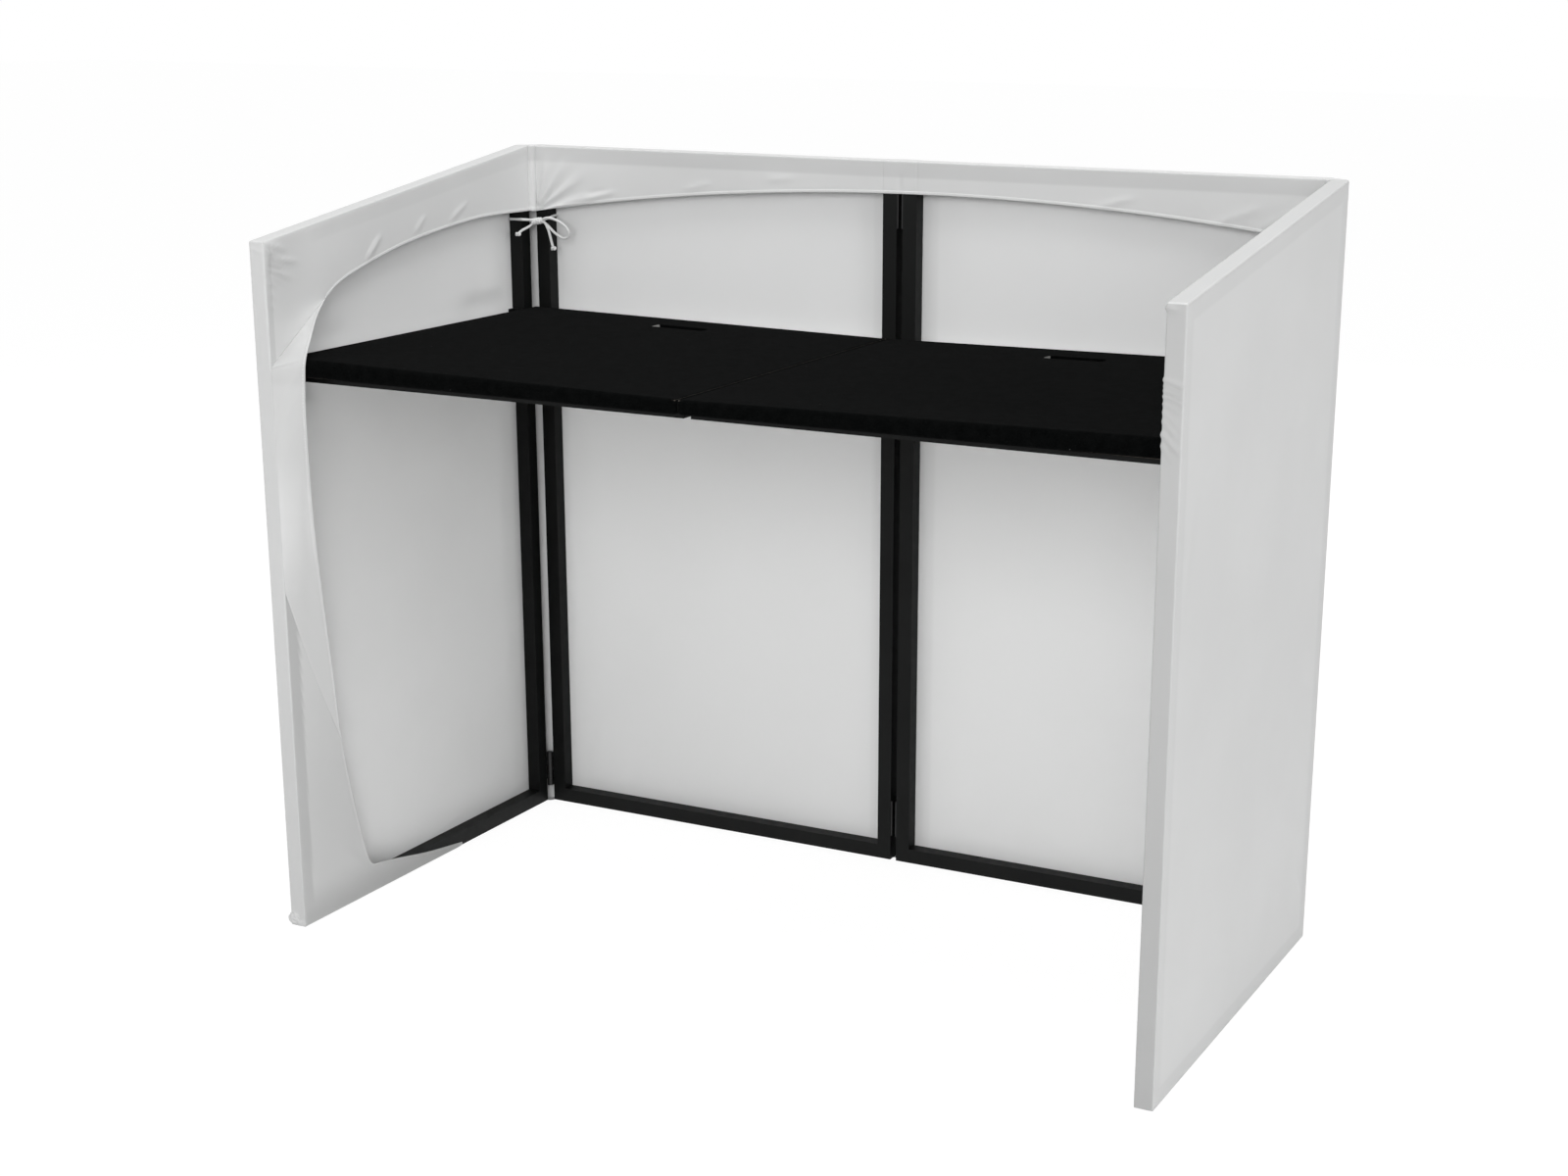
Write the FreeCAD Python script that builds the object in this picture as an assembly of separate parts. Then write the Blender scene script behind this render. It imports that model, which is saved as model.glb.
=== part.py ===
import FreeCAD
import Part
import math
import os

from FreeCAD import Vector

# Folding booth seen from its user's side: +X right, +Y towards the audience, +Z up.
# The origin lies on the floor, in the middle of the booth's outer box. All sizes are in millimetres.

# Overall sizes
cover_height = 1210.0           # top of the cover at the front panels
bay_height = 287.0              # table top to the top of the cover at the front panels
near_drop_share = 0.355         # of the bay's height: how much lower the wings end at the user's side
inner_half_width = 719.0        # middle plane to the inner face of a wing
wing_depth = 722.0              # inner face of the front panels to the user's end of the wings

# Steel tube and cover cloth
tube_size = 25.0
tube_wall = 1.5
cloth = 1.0
bottom_turn_in = 18.0           # width of the cover's turn-in under the bottom rails

# Hinges
pin_diameter = 6.0
leaf_thickness = 2.5
leaf_width = 26.0
hinge_height = 64.0
knuckle_count = 5
knuckle_gap = 0.3
running_clearance = 0.05        # pin to the bore that turns on it
corner_pin_offset = 3.5         # corner pins stand this far inside the inner faces
middle_pin_offset = 2.0         # middle pins stand this far outside the outer faces
corner_hinge_inset = 30.0       # frame end to the nearer end of a corner hinge
middle_hinge_inset = 44.0       # frame end to the nearer end of a middle hinge
pin_head_height = 1.5
pin_head_overhang = 1.5

# Screws
leaf_screw_diameter = 4.0
leaf_screw_head = 7.4
leaf_screw_head_height = 1.7
leaf_screw_shares = [(0.18, 0.74), (0.5, 0.5), (0.82, 0.74)]    # up the leaf, and across it from the knuckles
bracket_screw_diameter = 5.0
bracket_screw_head = 9.0
bracket_screw_head_height = 2.5
screw_grip = 7.0                # length of a screw past the tube's outer face
screw_clearance = 0.1

# Table
table_back_gap = 3.0
table_front_inset = 28.5        # table's front edge to the user's end of the wings
table_left_gap = 2.0
table_right_gap = 3.0
seam_offset = 17.0              # the seam between the table's halves stands this far left of the middle
board_thickness = 18.0
carpet = 3.0
carpet_return = 60.0
edge_radius = 7.0
frame_tube_width = 20.0
frame_tube_height = 10.0
frame_tube_wall = 1.2
frame_front_inset = 32.0
frame_side_inset = 6.0
slot_length = 100.0
slot_width = 26.0
slot_from_back = 87.0
table_screw_diameter = 4.0
table_screw_head = 7.0
table_screw_head_height = 2.0
table_screw_grip = 9.0          # length of a table screw inside the board
table_screw_shares = [0.2, 0.5, 0.8]    # along the under-frame's front and back tubes

# Table brackets
bracket_sheet = 3.0
bracket_flange = 13.0
bracket_rise = 5.0              # the tab's top above the table
shelf_reach = 60.0              # shelf under the table, past the wing's inner face
far_shelf = (6.0, 56.0)         # start and end of a shelf, measured from its post's face
near_shelf = (68.0, 100.0)
middle_shelf_width = 45.0
middle_bracket_drop = 40.0
middle_screw_shares = [0.35, 0.75]      # down the middle bracket's plate

# Hem of the cover: drops from the top of the cover at the front panels, as shares of the bay's height
corner_hem_shares = {"left": 0.39, "right": 0.345}
front_hem_shares = {"left": 0.392, "middle": 0.183, "right": 0.338}
# Inner hem of a wing: distance back as a share of the wing's depth, and the drop as above
wing_top_hem_shares = [(0.237, 0.394), (0.504, 0.472), (0.724, 0.603), (0.805, 0.707)]
# Lower down: the same distance, and the height as a share of the table's height
wing_near_hem_shares = [(0.855, 0.415), (0.827, 0.315), (0.787, 0.217), (0.738, 0.126), (0.666, 0.043)]
hem_foot_share = 0.392          # where the hem meets the floor, as a share of the wing's depth
# Flap of the hem at the table's front corner: height, angle away from the table's front edge, and width.
# The height is a share of the bay's height above the table, and of the table's height below it.
# The table pushes the left flap out of the wing's plane. The right one lies in it, round its bracket.
flat_on_wing = 90.0
flap_above_table = {
    "left": [(0.244, 79.0, 78.0), (0.157, 43.0, 48.0), (0.063, 1.0, 48.0), (0.017, 0.0, 47.0)],
    "right": [(0.244, flat_on_wing, 95.0), (0.13, flat_on_wing, 58.0), (0.017, flat_on_wing, 14.0)],
}
flap_below_table = {
    "left": [
        (0.97, 0.0, 46.0), (0.921, 1.0, 41.0), (0.827, 16.0, 35.5), (0.73, 44.0, 35.0), (0.576, 75.0, 51.0),
    ],
    "right": [
        (0.97, flat_on_wing, 4.0), (0.955, flat_on_wing, 4.0), (0.9, flat_on_wing, 18.0),
        (0.827, flat_on_wing, 31.0), (0.73, flat_on_wing, 42.0), (0.576, flat_on_wing, 56.0),
    ],
}

# Drawcord: points of each stretch, from the far left inside corner at the height of the hem there
cord_diameter = 4.6
arc_share = 0.45                # of the shorter run, taken by the arc at each point
bow_knot_radius = 6.0
end_knot_radius = 4.2
bow_knot_ends = [(16.0, -13.5, -16.0), (27.0, -10.5, -16.0)]
left_lead_route = [
    (16.0, -13.5, -16.0), (11.0, -25.0, -14.5), (6.0, -37.5, -13.0), (-8.0, -37.2, -13.0),
    (-22.0, -36.4, -13.5),
]
right_lead_route = [
    (27.0, -10.5, -16.0), (33.0, -7.2, -13.0), (39.2, -3.5, -11.0), (37.6, 8.0, -9.0),
    (37.4, 19.0, -8.5),
]
loop_route = [
    (27.5, -11.5, -15.0), (37.0, -14.0, -10.0), (52.0, -14.0, -11.0), (66.0, -12.0, -16.5),
    (77.0, -10.5, -24.5), (82.5, -9.5, -34.0), (79.5, -9.0, -43.5), (69.5, -8.5, -45.5),
    (57.0, -9.0, -39.5), (47.0, -9.5, -32.0), (38.5, -9.5, -23.5), (28.0, -9.5, -17.0),
]
left_tail_route = [
    (16.0, -13.5, -16.0), (11.0, -20.0, -24.0), (7.0, -30.0, -28.5), (3.0, -40.0, -32.0),
    (-1.0, -45.0, -38.0),
]
right_tail_route = [
    (27.0, -10.5, -16.0), (29.5, -12.0, -26.5), (35.0, -11.5, -36.0), (40.5, -10.0, -46.0),
    (44.0, -9.0, -57.0), (48.0, -8.5, -67.0),
]

# Worked out from the sizes above
table_height = cover_height - bay_height
table_spans = {
    "left": (table_left_gap - inner_half_width, -seam_offset),
    "right": (-seam_offset, inner_half_width - table_right_gap),
}
table_depth = wing_depth - table_front_inset - table_back_gap
corner_hem = {side: cover_height - drop * bay_height for side, drop in corner_hem_shares.items()}
front_hem = {place: cover_height - drop * bay_height for place, drop in front_hem_shares.items()}
wing_top_hem = [(back * wing_depth, cover_height - drop * bay_height) for back, drop in wing_top_hem_shares]
wing_near_hem = [(back * wing_depth, height * table_height) for back, height in wing_near_hem_shares]
wing_hem_foot = hem_foot_share * wing_depth
flap_sections = {}
for side in ("left", "right"):
    above = [(table_height + share * bay_height, *turn) for share, *turn in flap_above_table[side]]
    below = [(share * table_height, *turn) for share, *turn in flap_below_table[side]]
    flap_sections[side] = above + below
knuckle_radius = pin_diameter / 2 + leaf_thickness
corner_gap = knuckle_radius + corner_pin_offset
barrel_room = 0.4
corner_wrap = corner_gap + barrel_room + cloth
ridge_rise = middle_pin_offset + knuckle_radius + 2 * barrel_room
middle_edge = knuckle_radius + tube_size
outer_depth = tube_size + cloth
total_depth = wing_depth + outer_depth + ridge_rise
front_y = wing_depth - total_depth / 2
frame_bottom = cloth
frame_top = cover_height - cloth
near_tube = wing_depth - cloth
post_face_near = near_tube - tube_size
post_face_far = corner_gap + tube_size
front_outer_y = front_y + tube_size
board_top = table_height - carpet
board_bottom = board_top - board_thickness
carpet_bottom = board_bottom - carpet
shelf_top = carpet_bottom - frame_tube_height
flap_top = wing_top_hem[-1][1]
flap_bottom = wing_near_hem[0][1]
leaf_screw = (leaf_screw_head, leaf_screw_diameter, leaf_screw_head_height)
leaf_screw_length = leaf_thickness + screw_grip
table_screw = (table_screw_head, table_screw_diameter, table_screw_head_height)
hem_cut_start = min(front_hem.values()) - 2 * tube_size     # below the hem, where its cut begins
through = 1.0                   # how far a cutting solid reaches past what it cuts


def prism(points, push):
    """A straight solid on a flat outline of points."""
    return Part.Face(Part.makePolygon(points + [points[0]])).extrude(push)


def prism_along_x(outline, low, high):
    """Outline in (distance back from the front panels, height), pushed from low to high along X."""
    points = [Vector(low, front_y - back, height) for back, height in outline]
    return prism(points, Vector(high - low, 0, 0))


def prism_along_y(outline, low, high):
    points = [Vector(x, low, height) for x, height in outline]
    return prism(points, Vector(0, high - low, 0))


def prism_along_z(outline, low, high):
    points = [Vector(x, y, low) for x, y in outline]
    return prism(points, Vector(0, 0, high - low))


def block(x_range, y_range, z_range):
    size = [high - low for low, high in (x_range, y_range, z_range)]
    return Part.makeBox(*size, Vector(x_range[0], y_range[0], z_range[0]))


def fused(solids):
    return solids[0].multiFuse(solids[1:]).removeSplitter()


def mirrored(shape):
    return shape.mirror(Vector(0, 0, 0), Vector(1, 0, 0))


def inset_outline(outline, inset):
    """The outline of a convex panel moved inwards by inset."""
    count = len(outline)
    middle = [sum(p[axis] for p in outline) / count for axis in (0, 1)]
    lines = []
    for index in range(count):
        (a, b), (c, d) = outline[index], outline[(index + 1) % count]
        length = math.hypot(c - a, d - b)
        normal = ((b - d) / length, (c - a) / length)
        if normal[0] * (middle[0] - a) + normal[1] * (middle[1] - b) < 0:
            normal = (-normal[0], -normal[1])
        lines.append((normal, normal[0] * a + normal[1] * b + inset))
    corners = []
    for index in range(count):
        (m, r), (n, s) = lines[index - 1], lines[index]
        scale = m[0] * n[1] - m[1] * n[0]
        corners.append(((r * n[1] - s * m[1]) / scale, (m[0] * s - n[0] * r) / scale))
    return corners


def mitred_tubes(outline, push, low, size, wall, height=None):
    """Square or flat tubes round an outline, mitred where they meet, one for each side."""
    thickness = size if height is None else height
    rings = [inset_outline(outline, inset) for inset in (0.0, size, wall, size - wall)]
    tubes = []
    for index in range(len(outline)):
        after = (index + 1) % len(outline)
        outer = [rings[0][index], rings[0][after], rings[1][after], rings[1][index]]
        hollow = [rings[2][index], rings[2][after], rings[3][after], rings[3][index]]
        tube = push(outer, low, low + thickness)
        tubes.append(tube.cut(push(hollow, low + wall, low + thickness - wall)))
    return tubes


# Frames

def front_outline():
    """Left front frame, seen from inside: outline in (x, height)."""
    outer = corner_gap - inner_half_width
    inner = -knuckle_radius
    return [(outer, frame_bottom), (inner, frame_bottom), (inner, frame_top), (outer, frame_top)]


def wing_slope():
    return near_drop_share * bay_height / (wing_depth - corner_gap)


def wing_top(back):
    """Height of the wing frame's top at a distance back from the front panels."""
    return frame_top - wing_slope() * (back - corner_gap)


def wing_outline():
    return [
        (near_tube, frame_bottom),
        (corner_gap, frame_bottom),
        (corner_gap, wing_top(corner_gap)),
        (near_tube, wing_top(near_tube)),
    ]


def front_frame():
    names = ["front_bottom_rail", "front_center_post", "front_top_rail", "front_outer_post"]
    return dict(zip(names, mitred_tubes(front_outline(), prism_along_y, front_y, tube_size, tube_wall)))


def wing_frame():
    names = ["wing_bottom_rail", "wing_far_post", "wing_top_rail", "wing_near_post"]
    outer_x = -inner_half_width - tube_size
    return dict(zip(names, mitred_tubes(wing_outline(), prism_along_x, outer_x, tube_size, tube_wall)))


# Hinges and screws

def hinge_bottoms(inset):
    return [frame_bottom + inset, frame_top - inset - hinge_height]


def knuckle_spans(bottom, parity):
    """Heights of the knuckles that belong to one leaf: every second one."""
    pitch = hinge_height / knuckle_count
    spans = []
    for index in range(parity, knuckle_count, 2):
        low = bottom + index * pitch + (knuckle_gap / 2 if index else 0.0)
        high = bottom + (index + 1) * pitch - (knuckle_gap / 2 if index < knuckle_count - 1 else 0.0)
        spans.append((low, high))
    return spans


def leaf_screw_places(pin, along, back, bottom):
    """Where the three screws of a leaf stand on the leaf's free face, in a zigzag."""
    face = pin + back * (knuckle_radius - leaf_thickness)
    places = []
    for step, share in leaf_screw_shares:
        across = knuckle_radius + (leaf_width - knuckle_radius) * share
        places.append(face + along * across + Vector(0, 0, bottom + hinge_height * step))
    return places


def countersunk_screw(place, axis, sizes, length, clearance=0.0):
    """A screw with its head flush at place, or with a clearance the hole for it, open past the face."""
    head, diameter, head_height = sizes
    radii = (head / 2 + clearance, diameter / 2 + clearance)
    cone = Part.makeCone(*radii, head_height, place, axis)
    shank = Part.makeCylinder(radii[1], length - head_height, place + axis * head_height, axis)
    if not clearance:
        return fused([cone, shank])
    mouth = Part.makeCylinder(radii[0], through, place - axis * through, axis)
    return fused([mouth, cone, shank])


def hinge_leaf(pin, along, back, bottom, parity, clearance):
    """One leaf: a plate on a post's face, rolled into its own knuckles round the pin."""
    near, far = knuckle_radius - leaf_thickness, knuckle_radius

    def rectangle(start, end):
        corners = [(start, near), (end, near), (end, far), (start, far)]
        return [(pin + along * a + back * b) for a, b in corners]

    plate_outline = [(p.x, p.y) for p in rectangle(0.0, leaf_width)]
    notch_outline = [(p.x, p.y) for p in rectangle(-through, knuckle_radius + knuckle_gap)]
    leaf = prism_along_z(plate_outline, bottom, bottom + hinge_height)
    for low, high in knuckle_spans(bottom, 1 - parity):
        leaf = leaf.cut(prism_along_z(notch_outline, low - knuckle_gap, high + knuckle_gap))
    knuckles = []
    for low, high in knuckle_spans(bottom, parity):
        knuckles.append(Part.makeCylinder(knuckle_radius, high - low, pin + Vector(0, 0, low)))
    leaf = fused([leaf] + knuckles)
    bore = Part.makeCylinder(pin_diameter / 2 + clearance, hinge_height, pin + Vector(0, 0, bottom))
    leaf = leaf.cut(bore)
    for place in leaf_screw_places(pin, along, back, bottom):
        leaf = leaf.cut(countersunk_screw(place, back, leaf_screw, leaf_screw_length, screw_clearance))
    return leaf


def hinge_pin(pin, bottom):
    shaft = Part.makeCylinder(pin_diameter / 2, hinge_height, pin + Vector(0, 0, bottom))
    head_place = pin + Vector(0, 0, bottom + hinge_height)
    head = Part.makeCylinder(pin_diameter / 2 + pin_head_overhang, pin_head_height, head_place)
    return fused([shaft, head])


def leaf_set(pin, along, back, inset, parity, clearance):
    bottoms = hinge_bottoms(inset)
    leaves = [hinge_leaf(pin, along, back, bottom, parity, clearance) for bottom in bottoms]
    places = [place for bottom in bottoms for place in leaf_screw_places(pin, along, back, bottom)]
    screws = [countersunk_screw(place, back, leaf_screw, leaf_screw_length) for place in places]
    return leaves, screws, places


def screw_holes(places, axis, radius):
    """Holes through the post's wall for screws that start on the face of what they hold."""
    reach = leaf_thickness + tube_wall + through
    return [Part.makeCylinder(radius, reach, place, axis) for place in places]


def pan_screw(place, axis):
    head = Part.makeCylinder(bracket_screw_head / 2, bracket_screw_head_height, place, axis * -1)
    shank = Part.makeCylinder(bracket_screw_diameter / 2, bracket_sheet + screw_grip, place, axis)
    return fused([head, shank])


def bracket_hole(place, axis):
    radius = bracket_screw_diameter / 2 + screw_clearance
    return Part.makeCylinder(radius, bracket_sheet + tube_wall + through, place, axis)


# Table brackets

def wing_bracket(post_face, turn, shelf_span):
    """Bracket on a wing post: plate on the post, side flange, and an arm to a shelf under the table.

    turn is +1 where the bracket stands towards the user from its post and -1 where it stands away.
    """
    inner, outer = -inner_half_width, -inner_half_width - tube_size
    bottom, top = shelf_top - bracket_sheet, table_height + bracket_rise

    def backs(start, end):
        return sorted((front_y - post_face - turn * start, front_y - post_face - turn * end))

    plate = block((outer, inner), backs(0, bracket_sheet), (bottom, top))
    flange = block((outer, outer + bracket_sheet), backs(0, bracket_flange), (bottom, top))
    arm = block((outer, inner), backs(0, shelf_span[1]), (bottom, shelf_top))
    shelf = block((outer, inner + shelf_reach), backs(*shelf_span), (bottom, shelf_top))
    axis = Vector(0, turn, 0)
    places = []
    for height in (shelf_top + bracket_screw_head, table_height - bracket_screw_head):
        middle_x = outer + bracket_sheet + (tube_size - bracket_sheet) / 2
        places.append(Vector(middle_x, front_y - post_face - turn * bracket_sheet, height))
    holes = [bracket_hole(place, axis) for place in places]
    bracket = fused([plate, flange, arm, shelf]).cut(Part.makeCompound(holes))
    return bracket, [pan_screw(place, axis) for place in places], holes


def middle_bracket():
    """Angle bracket on the left middle post: plate on the post's inner face and a shelf for the table."""
    post_x = (-middle_edge, -knuckle_radius)
    shelf_x = (-knuckle_radius - middle_shelf_width, -knuckle_radius)
    plate = block(post_x, (front_y - bracket_sheet, front_y), (shelf_top - middle_bracket_drop, shelf_top))
    shelf = block(shelf_x, (front_y - shelf_reach, front_y), (shelf_top - bracket_sheet, shelf_top))
    axis = Vector(0, 1, 0)
    places = []
    for share in middle_screw_shares:
        height = shelf_top - middle_bracket_drop * share
        places.append(Vector(sum(post_x) / 2, front_y - bracket_sheet, height))
    holes = [bracket_hole(place, axis) for place in places]
    bracket = fused([plate, shelf]).cut(Part.makeCompound(holes))
    return bracket, [pan_screw(place, axis) for place in places], holes


# Cover

def curve(points):
    """A smooth edge through points."""
    spline = Part.BSplineCurve()
    spline.interpolate(points)
    return spline.toShape()


def front_cover():
    """Outer face of the left front panel with its turn-in under the bottom rail."""
    x_range = (corner_gap - inner_half_width, -middle_edge)
    face = block(x_range, (front_outer_y, front_outer_y + cloth), (0.0, cover_height))
    turn_in = block(x_range, (front_outer_y - bottom_turn_in, front_outer_y), (0.0, cloth))
    return fused([face, turn_in])


def hem_cutter():
    """Solid below the hem of both front panels, which is one arc, through their inner face."""
    reach = inner_half_width - corner_gap
    start, end = Vector(-reach, 0, front_hem["left"]), Vector(reach, 0, front_hem["right"])
    arc = Part.Arc(start, Vector(0, 0, front_hem["middle"]), end).toShape()
    low_start, low_end = Vector(start.x, 0, frame_bottom), Vector(end.x, 0, frame_bottom)
    sides = [Part.makeLine(end, low_end), Part.makeLine(low_end, low_start), Part.makeLine(low_start, start)]
    face = Part.Face(Part.Wire(Part.__sortEdges__([arc] + sides)))
    face.translate(Vector(0, front_y - cloth - through, 0))
    return face.extrude(Vector(0, cloth + 2 * through, 0))


def front_cover_hem(side):
    """Top wrap and inner hem of a front panel."""
    x_range = (corner_wrap - inner_half_width, -middle_edge)
    top = block(x_range, (front_y - cloth, front_outer_y), (frame_top, cover_height))
    flap = block(x_range, (front_y - cloth, front_y), (hem_cut_start, frame_top))
    hem = fused([top, flap])
    hem = mirrored(hem) if side == "right" else hem
    return hem.cut(hem_cutter())


def wing_cover():
    """Outer face of the left wing with its turn-in under the bottom rail."""
    outer = -inner_half_width - tube_size
    outline = [
        (wing_depth, 0.0),
        (corner_gap, 0.0),
        (corner_gap, cover_height),
        (wing_depth, wing_top(wing_depth) + cloth),
    ]
    face = prism_along_x(outline, outer - cloth, outer)
    backs = (front_y - wing_depth, front_y - corner_gap)
    turn_in = block((outer, outer + bottom_turn_in), backs, (0.0, cloth))
    return fused([face, turn_in])


def wing_opening(corner_height):
    """Face of the opening that the inner hem of a wing leaves, in the wing's plane."""
    def place(back, height):
        return Vector(0, front_y - back, height)

    far = corner_wrap - through
    top_points = [place(far, corner_height)] + [place(*p) for p in wing_top_hem]
    near_points = [place(*p) for p in wing_near_hem]
    flap_root = [place(post_face_near, flap_top), place(post_face_near, flap_bottom)]
    foot = [place(wing_hem_foot, frame_bottom), place(far, frame_bottom)]
    edges = [curve(top_points), curve(near_points)]
    for start, end in (
        (top_points[-1], flap_root[0]),
        (flap_root[0], flap_root[1]),
        (flap_root[1], near_points[0]),
        (near_points[-1], foot[0]),
        (foot[0], foot[1]),
        (foot[1], top_points[0]),
    ):
        edges.append(Part.makeLine(start, end))
    return Part.Face(Part.Wire(Part.__sortEdges__(edges)))


def wing_hem(corner_height):
    """Top wrap, wrap round the near post and inner hem of the left wing, as one piece."""
    inner, outer = -inner_half_width, -inner_half_width - tube_size
    skin_outline = [
        (wing_depth, frame_bottom),
        (corner_wrap, frame_bottom),
        (corner_wrap, wing_top(corner_wrap) + cloth),
        (wing_depth, wing_top(wing_depth) + cloth),
    ]
    core_outline = [
        (near_tube, frame_bottom - through),
        (corner_wrap - through, frame_bottom - through),
        (corner_wrap - through, wing_top(corner_wrap - through)),
        (near_tube, wing_top(near_tube)),
    ]
    skin = prism_along_x(skin_outline, outer, inner + cloth)
    core = prism_along_x(core_outline, outer - through, inner)
    opening = wing_opening(corner_height)
    opening.translate(Vector(inner - through, 0, 0))
    return skin.cut(core).cut(opening.extrude(Vector(cloth + 2 * through, 0, 0)))


def corner_cover(corner_height):
    """Diagonal cloth over the far left corner: outer face, top and the strip round the hinge barrels."""
    x, y = -inner_half_width, front_y
    outer = [
        (x - tube_size, y - corner_gap),
        (x - outer_depth, y - corner_gap),
        (x + corner_gap, y + outer_depth),
        (x + corner_gap, y + tube_size),
    ]
    top = [
        (x - tube_size, y - corner_wrap),
        (x - tube_size, y - corner_gap),
        (x - outer_depth, y - corner_gap),
        (x + corner_gap, y + outer_depth),
        (x + corner_gap, y + tube_size),
        (x + corner_wrap, y + tube_size),
        (x + corner_wrap, y - corner_wrap),
    ]
    inside = corner_wrap - cloth
    strip = [
        (x, y - corner_wrap),
        (x + corner_wrap, y - corner_wrap),
        (x + corner_wrap, y),
        (x + inside, y),
        (x + inside, y - inside),
        (x, y - inside),
    ]
    return fused([
        prism_along_z(outer, 0.0, cover_height),
        prism_along_z(top, frame_top, cover_height),
        prism_along_z(strip, corner_height, cover_height),
    ])


def middle_cover():
    """Strip over the middle posts: a ridge over the hinge barrels, the top and the inner hem."""
    y, ridge_y = front_outer_y, front_outer_y + ridge_rise
    ridge = [
        (-middle_edge, y), (-middle_edge, y + cloth), (0.0, ridge_y + cloth),
        (middle_edge, y + cloth), (middle_edge, y), (0.0, ridge_y),
    ]
    top = [(-middle_edge, front_y - cloth), (-middle_edge, y), (0.0, ridge_y), (middle_edge, y),
           (middle_edge, front_y - cloth)]
    flap = block((-middle_edge, middle_edge), (front_y - cloth, front_y), (hem_cut_start, frame_top))
    return fused([
        prism_along_z(ridge, 0.0, cover_height),
        prism_along_z(top, frame_top, cover_height),
        flap.cut(hem_cutter()),
    ])


def near_flap(side):
    """Flap of a wing's hem at the table's front corner, built on the left."""
    root = Vector(-inner_half_width + cloth, front_y - post_face_near, 0)
    sections = [(flap_top, flat_on_wing, post_face_near - wing_top_hem[-1][0])]
    sections += flap_sections[side]
    sections += [(flap_bottom, flat_on_wing, post_face_near - wing_near_hem[0][0])]
    wires = []
    for height, angle, width in sections:
        turn = math.radians(angle)
        along = Vector(math.cos(turn), math.sin(turn), 0) * width
        across = Vector(-math.sin(turn), math.cos(turn), 0) * cloth
        start = root + Vector(0, 0, height)
        corners = [start, start + along, start + along + across, start + across, start]
        wires.append(Part.makePolygon(corners))
    return Part.makeLoft(wires, True, True)


# Table

def table_half(left_x, right_x):
    """One half of the table: board, carpet, under-frame tubes and the screws between them."""
    back_y = front_y - table_back_gap
    front_edge = back_y - table_depth
    outer = block((left_x, right_x), (front_edge, back_y), (carpet_bottom, table_height))
    outer = outer.makeFillet(edge_radius, outer.Edges)
    board_x = (left_x + carpet, right_x - carpet)
    board_y = (front_edge + carpet, back_y - carpet)
    board = block(board_x, board_y, (board_bottom, board_top))
    window_x = (left_x + carpet_return, right_x - carpet_return)
    window_y = (front_edge + carpet_return, back_y - carpet_return)
    window = block(window_x, window_y, (carpet_bottom - through, board_bottom))
    slot_x = (left_x + right_x) / 2
    slot = block(
        (slot_x - slot_length / 2, slot_x + slot_length / 2),
        (back_y - slot_from_back - slot_width / 2, back_y - slot_from_back + slot_width / 2),
        (carpet_bottom - through, table_height + through),
    )
    upright = [edge for edge in slot.Edges if abs(edge.tangentAt(edge.FirstParameter).z) > 0.5]
    slot = slot.makeFillet(edge_radius, upright)
    ring_x = (left_x + frame_side_inset, right_x - frame_side_inset)
    ring_y = (front_edge + frame_front_inset, back_y - frame_front_inset)
    ring = [(ring_x[0], ring_y[0]), (ring_x[1], ring_y[0]), (ring_x[1], ring_y[1]), (ring_x[0], ring_y[1])]
    tubes = mitred_tubes(ring, prism_along_z, shelf_top, frame_tube_width, frame_tube_wall, frame_tube_height)
    screws, holes = table_screws(ring_x, ring_y)
    cuts = Part.makeCompound(holes)
    return {
        "table_board": board.cut(slot).cut(cuts),
        "table_carpet": outer.cut(board).cut(window).cut(slot).cut(cuts),
        "table_frame": Part.makeCompound([tube.cut(cuts) for tube in tubes]),
        "table_screws": Part.makeCompound(screws),
    }


def table_screws(ring_x, ring_y):
    """Screws from below, through the under-frame's front and back tubes into the board."""
    screws, holes = [], []
    tube_middle = frame_tube_width / 2
    length = frame_tube_height + carpet + table_screw_grip
    up = Vector(0, 0, 1)
    for share in table_screw_shares:
        for y in (ring_y[0] + tube_middle, ring_y[1] - tube_middle):
            place = Vector(ring_x[0] + (ring_x[1] - ring_x[0]) * share, y, shelf_top)
            screws.append(countersunk_screw(place, up, table_screw, length))
            holes.append(countersunk_screw(place, up, table_screw, length + through, screw_clearance))
    return screws, holes


# Drawcord

def cord_tube(name, route):
    """Tube of straight runs joined by tangent arcs, along a route from the far left inside corner."""
    corner = Vector(-inner_half_width, front_y, corner_hem["left"])
    points = [corner + Vector(*offsets) for offsets in route]
    edges, last, radii = [], points[0], []
    for before, here, after in zip(points, points[1:], points[2:]):
        run_in, run_out = here - before, after - here
        half_turn = run_in.getAngle(run_out) / 2
        tangent = arc_share * min(run_in.Length, run_out.Length)
        radius = tangent / math.tan(half_turn)
        radii.append(round(radius, 1))
        start = here - Vector(run_in).normalize() * tangent
        end = here + Vector(run_out).normalize() * tangent
        inwards = ((start + end) * 0.5 - here).normalize()
        middle = here + inwards * (math.hypot(radius, tangent) - radius)
        edges.append(Part.makeLine(last, start))
        edges.append(Part.Arc(start, middle, end).toShape())
        last = end
    edges.append(Part.makeLine(last, points[-1]))
    path = Part.Wire(edges)
    section = Part.Wire(Part.makeCircle(cord_diameter / 2, points[0], points[1] - points[0]))
    tube = path.makePipeShell([section], True, False)
    share = tube.Volume / (math.pi * (cord_diameter / 2) ** 2 * path.Length)
    print(name, "length", round(path.Length, 1), "radii", radii)
    print(name, "volume over section times length", round(share, 4))
    return tube


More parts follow.
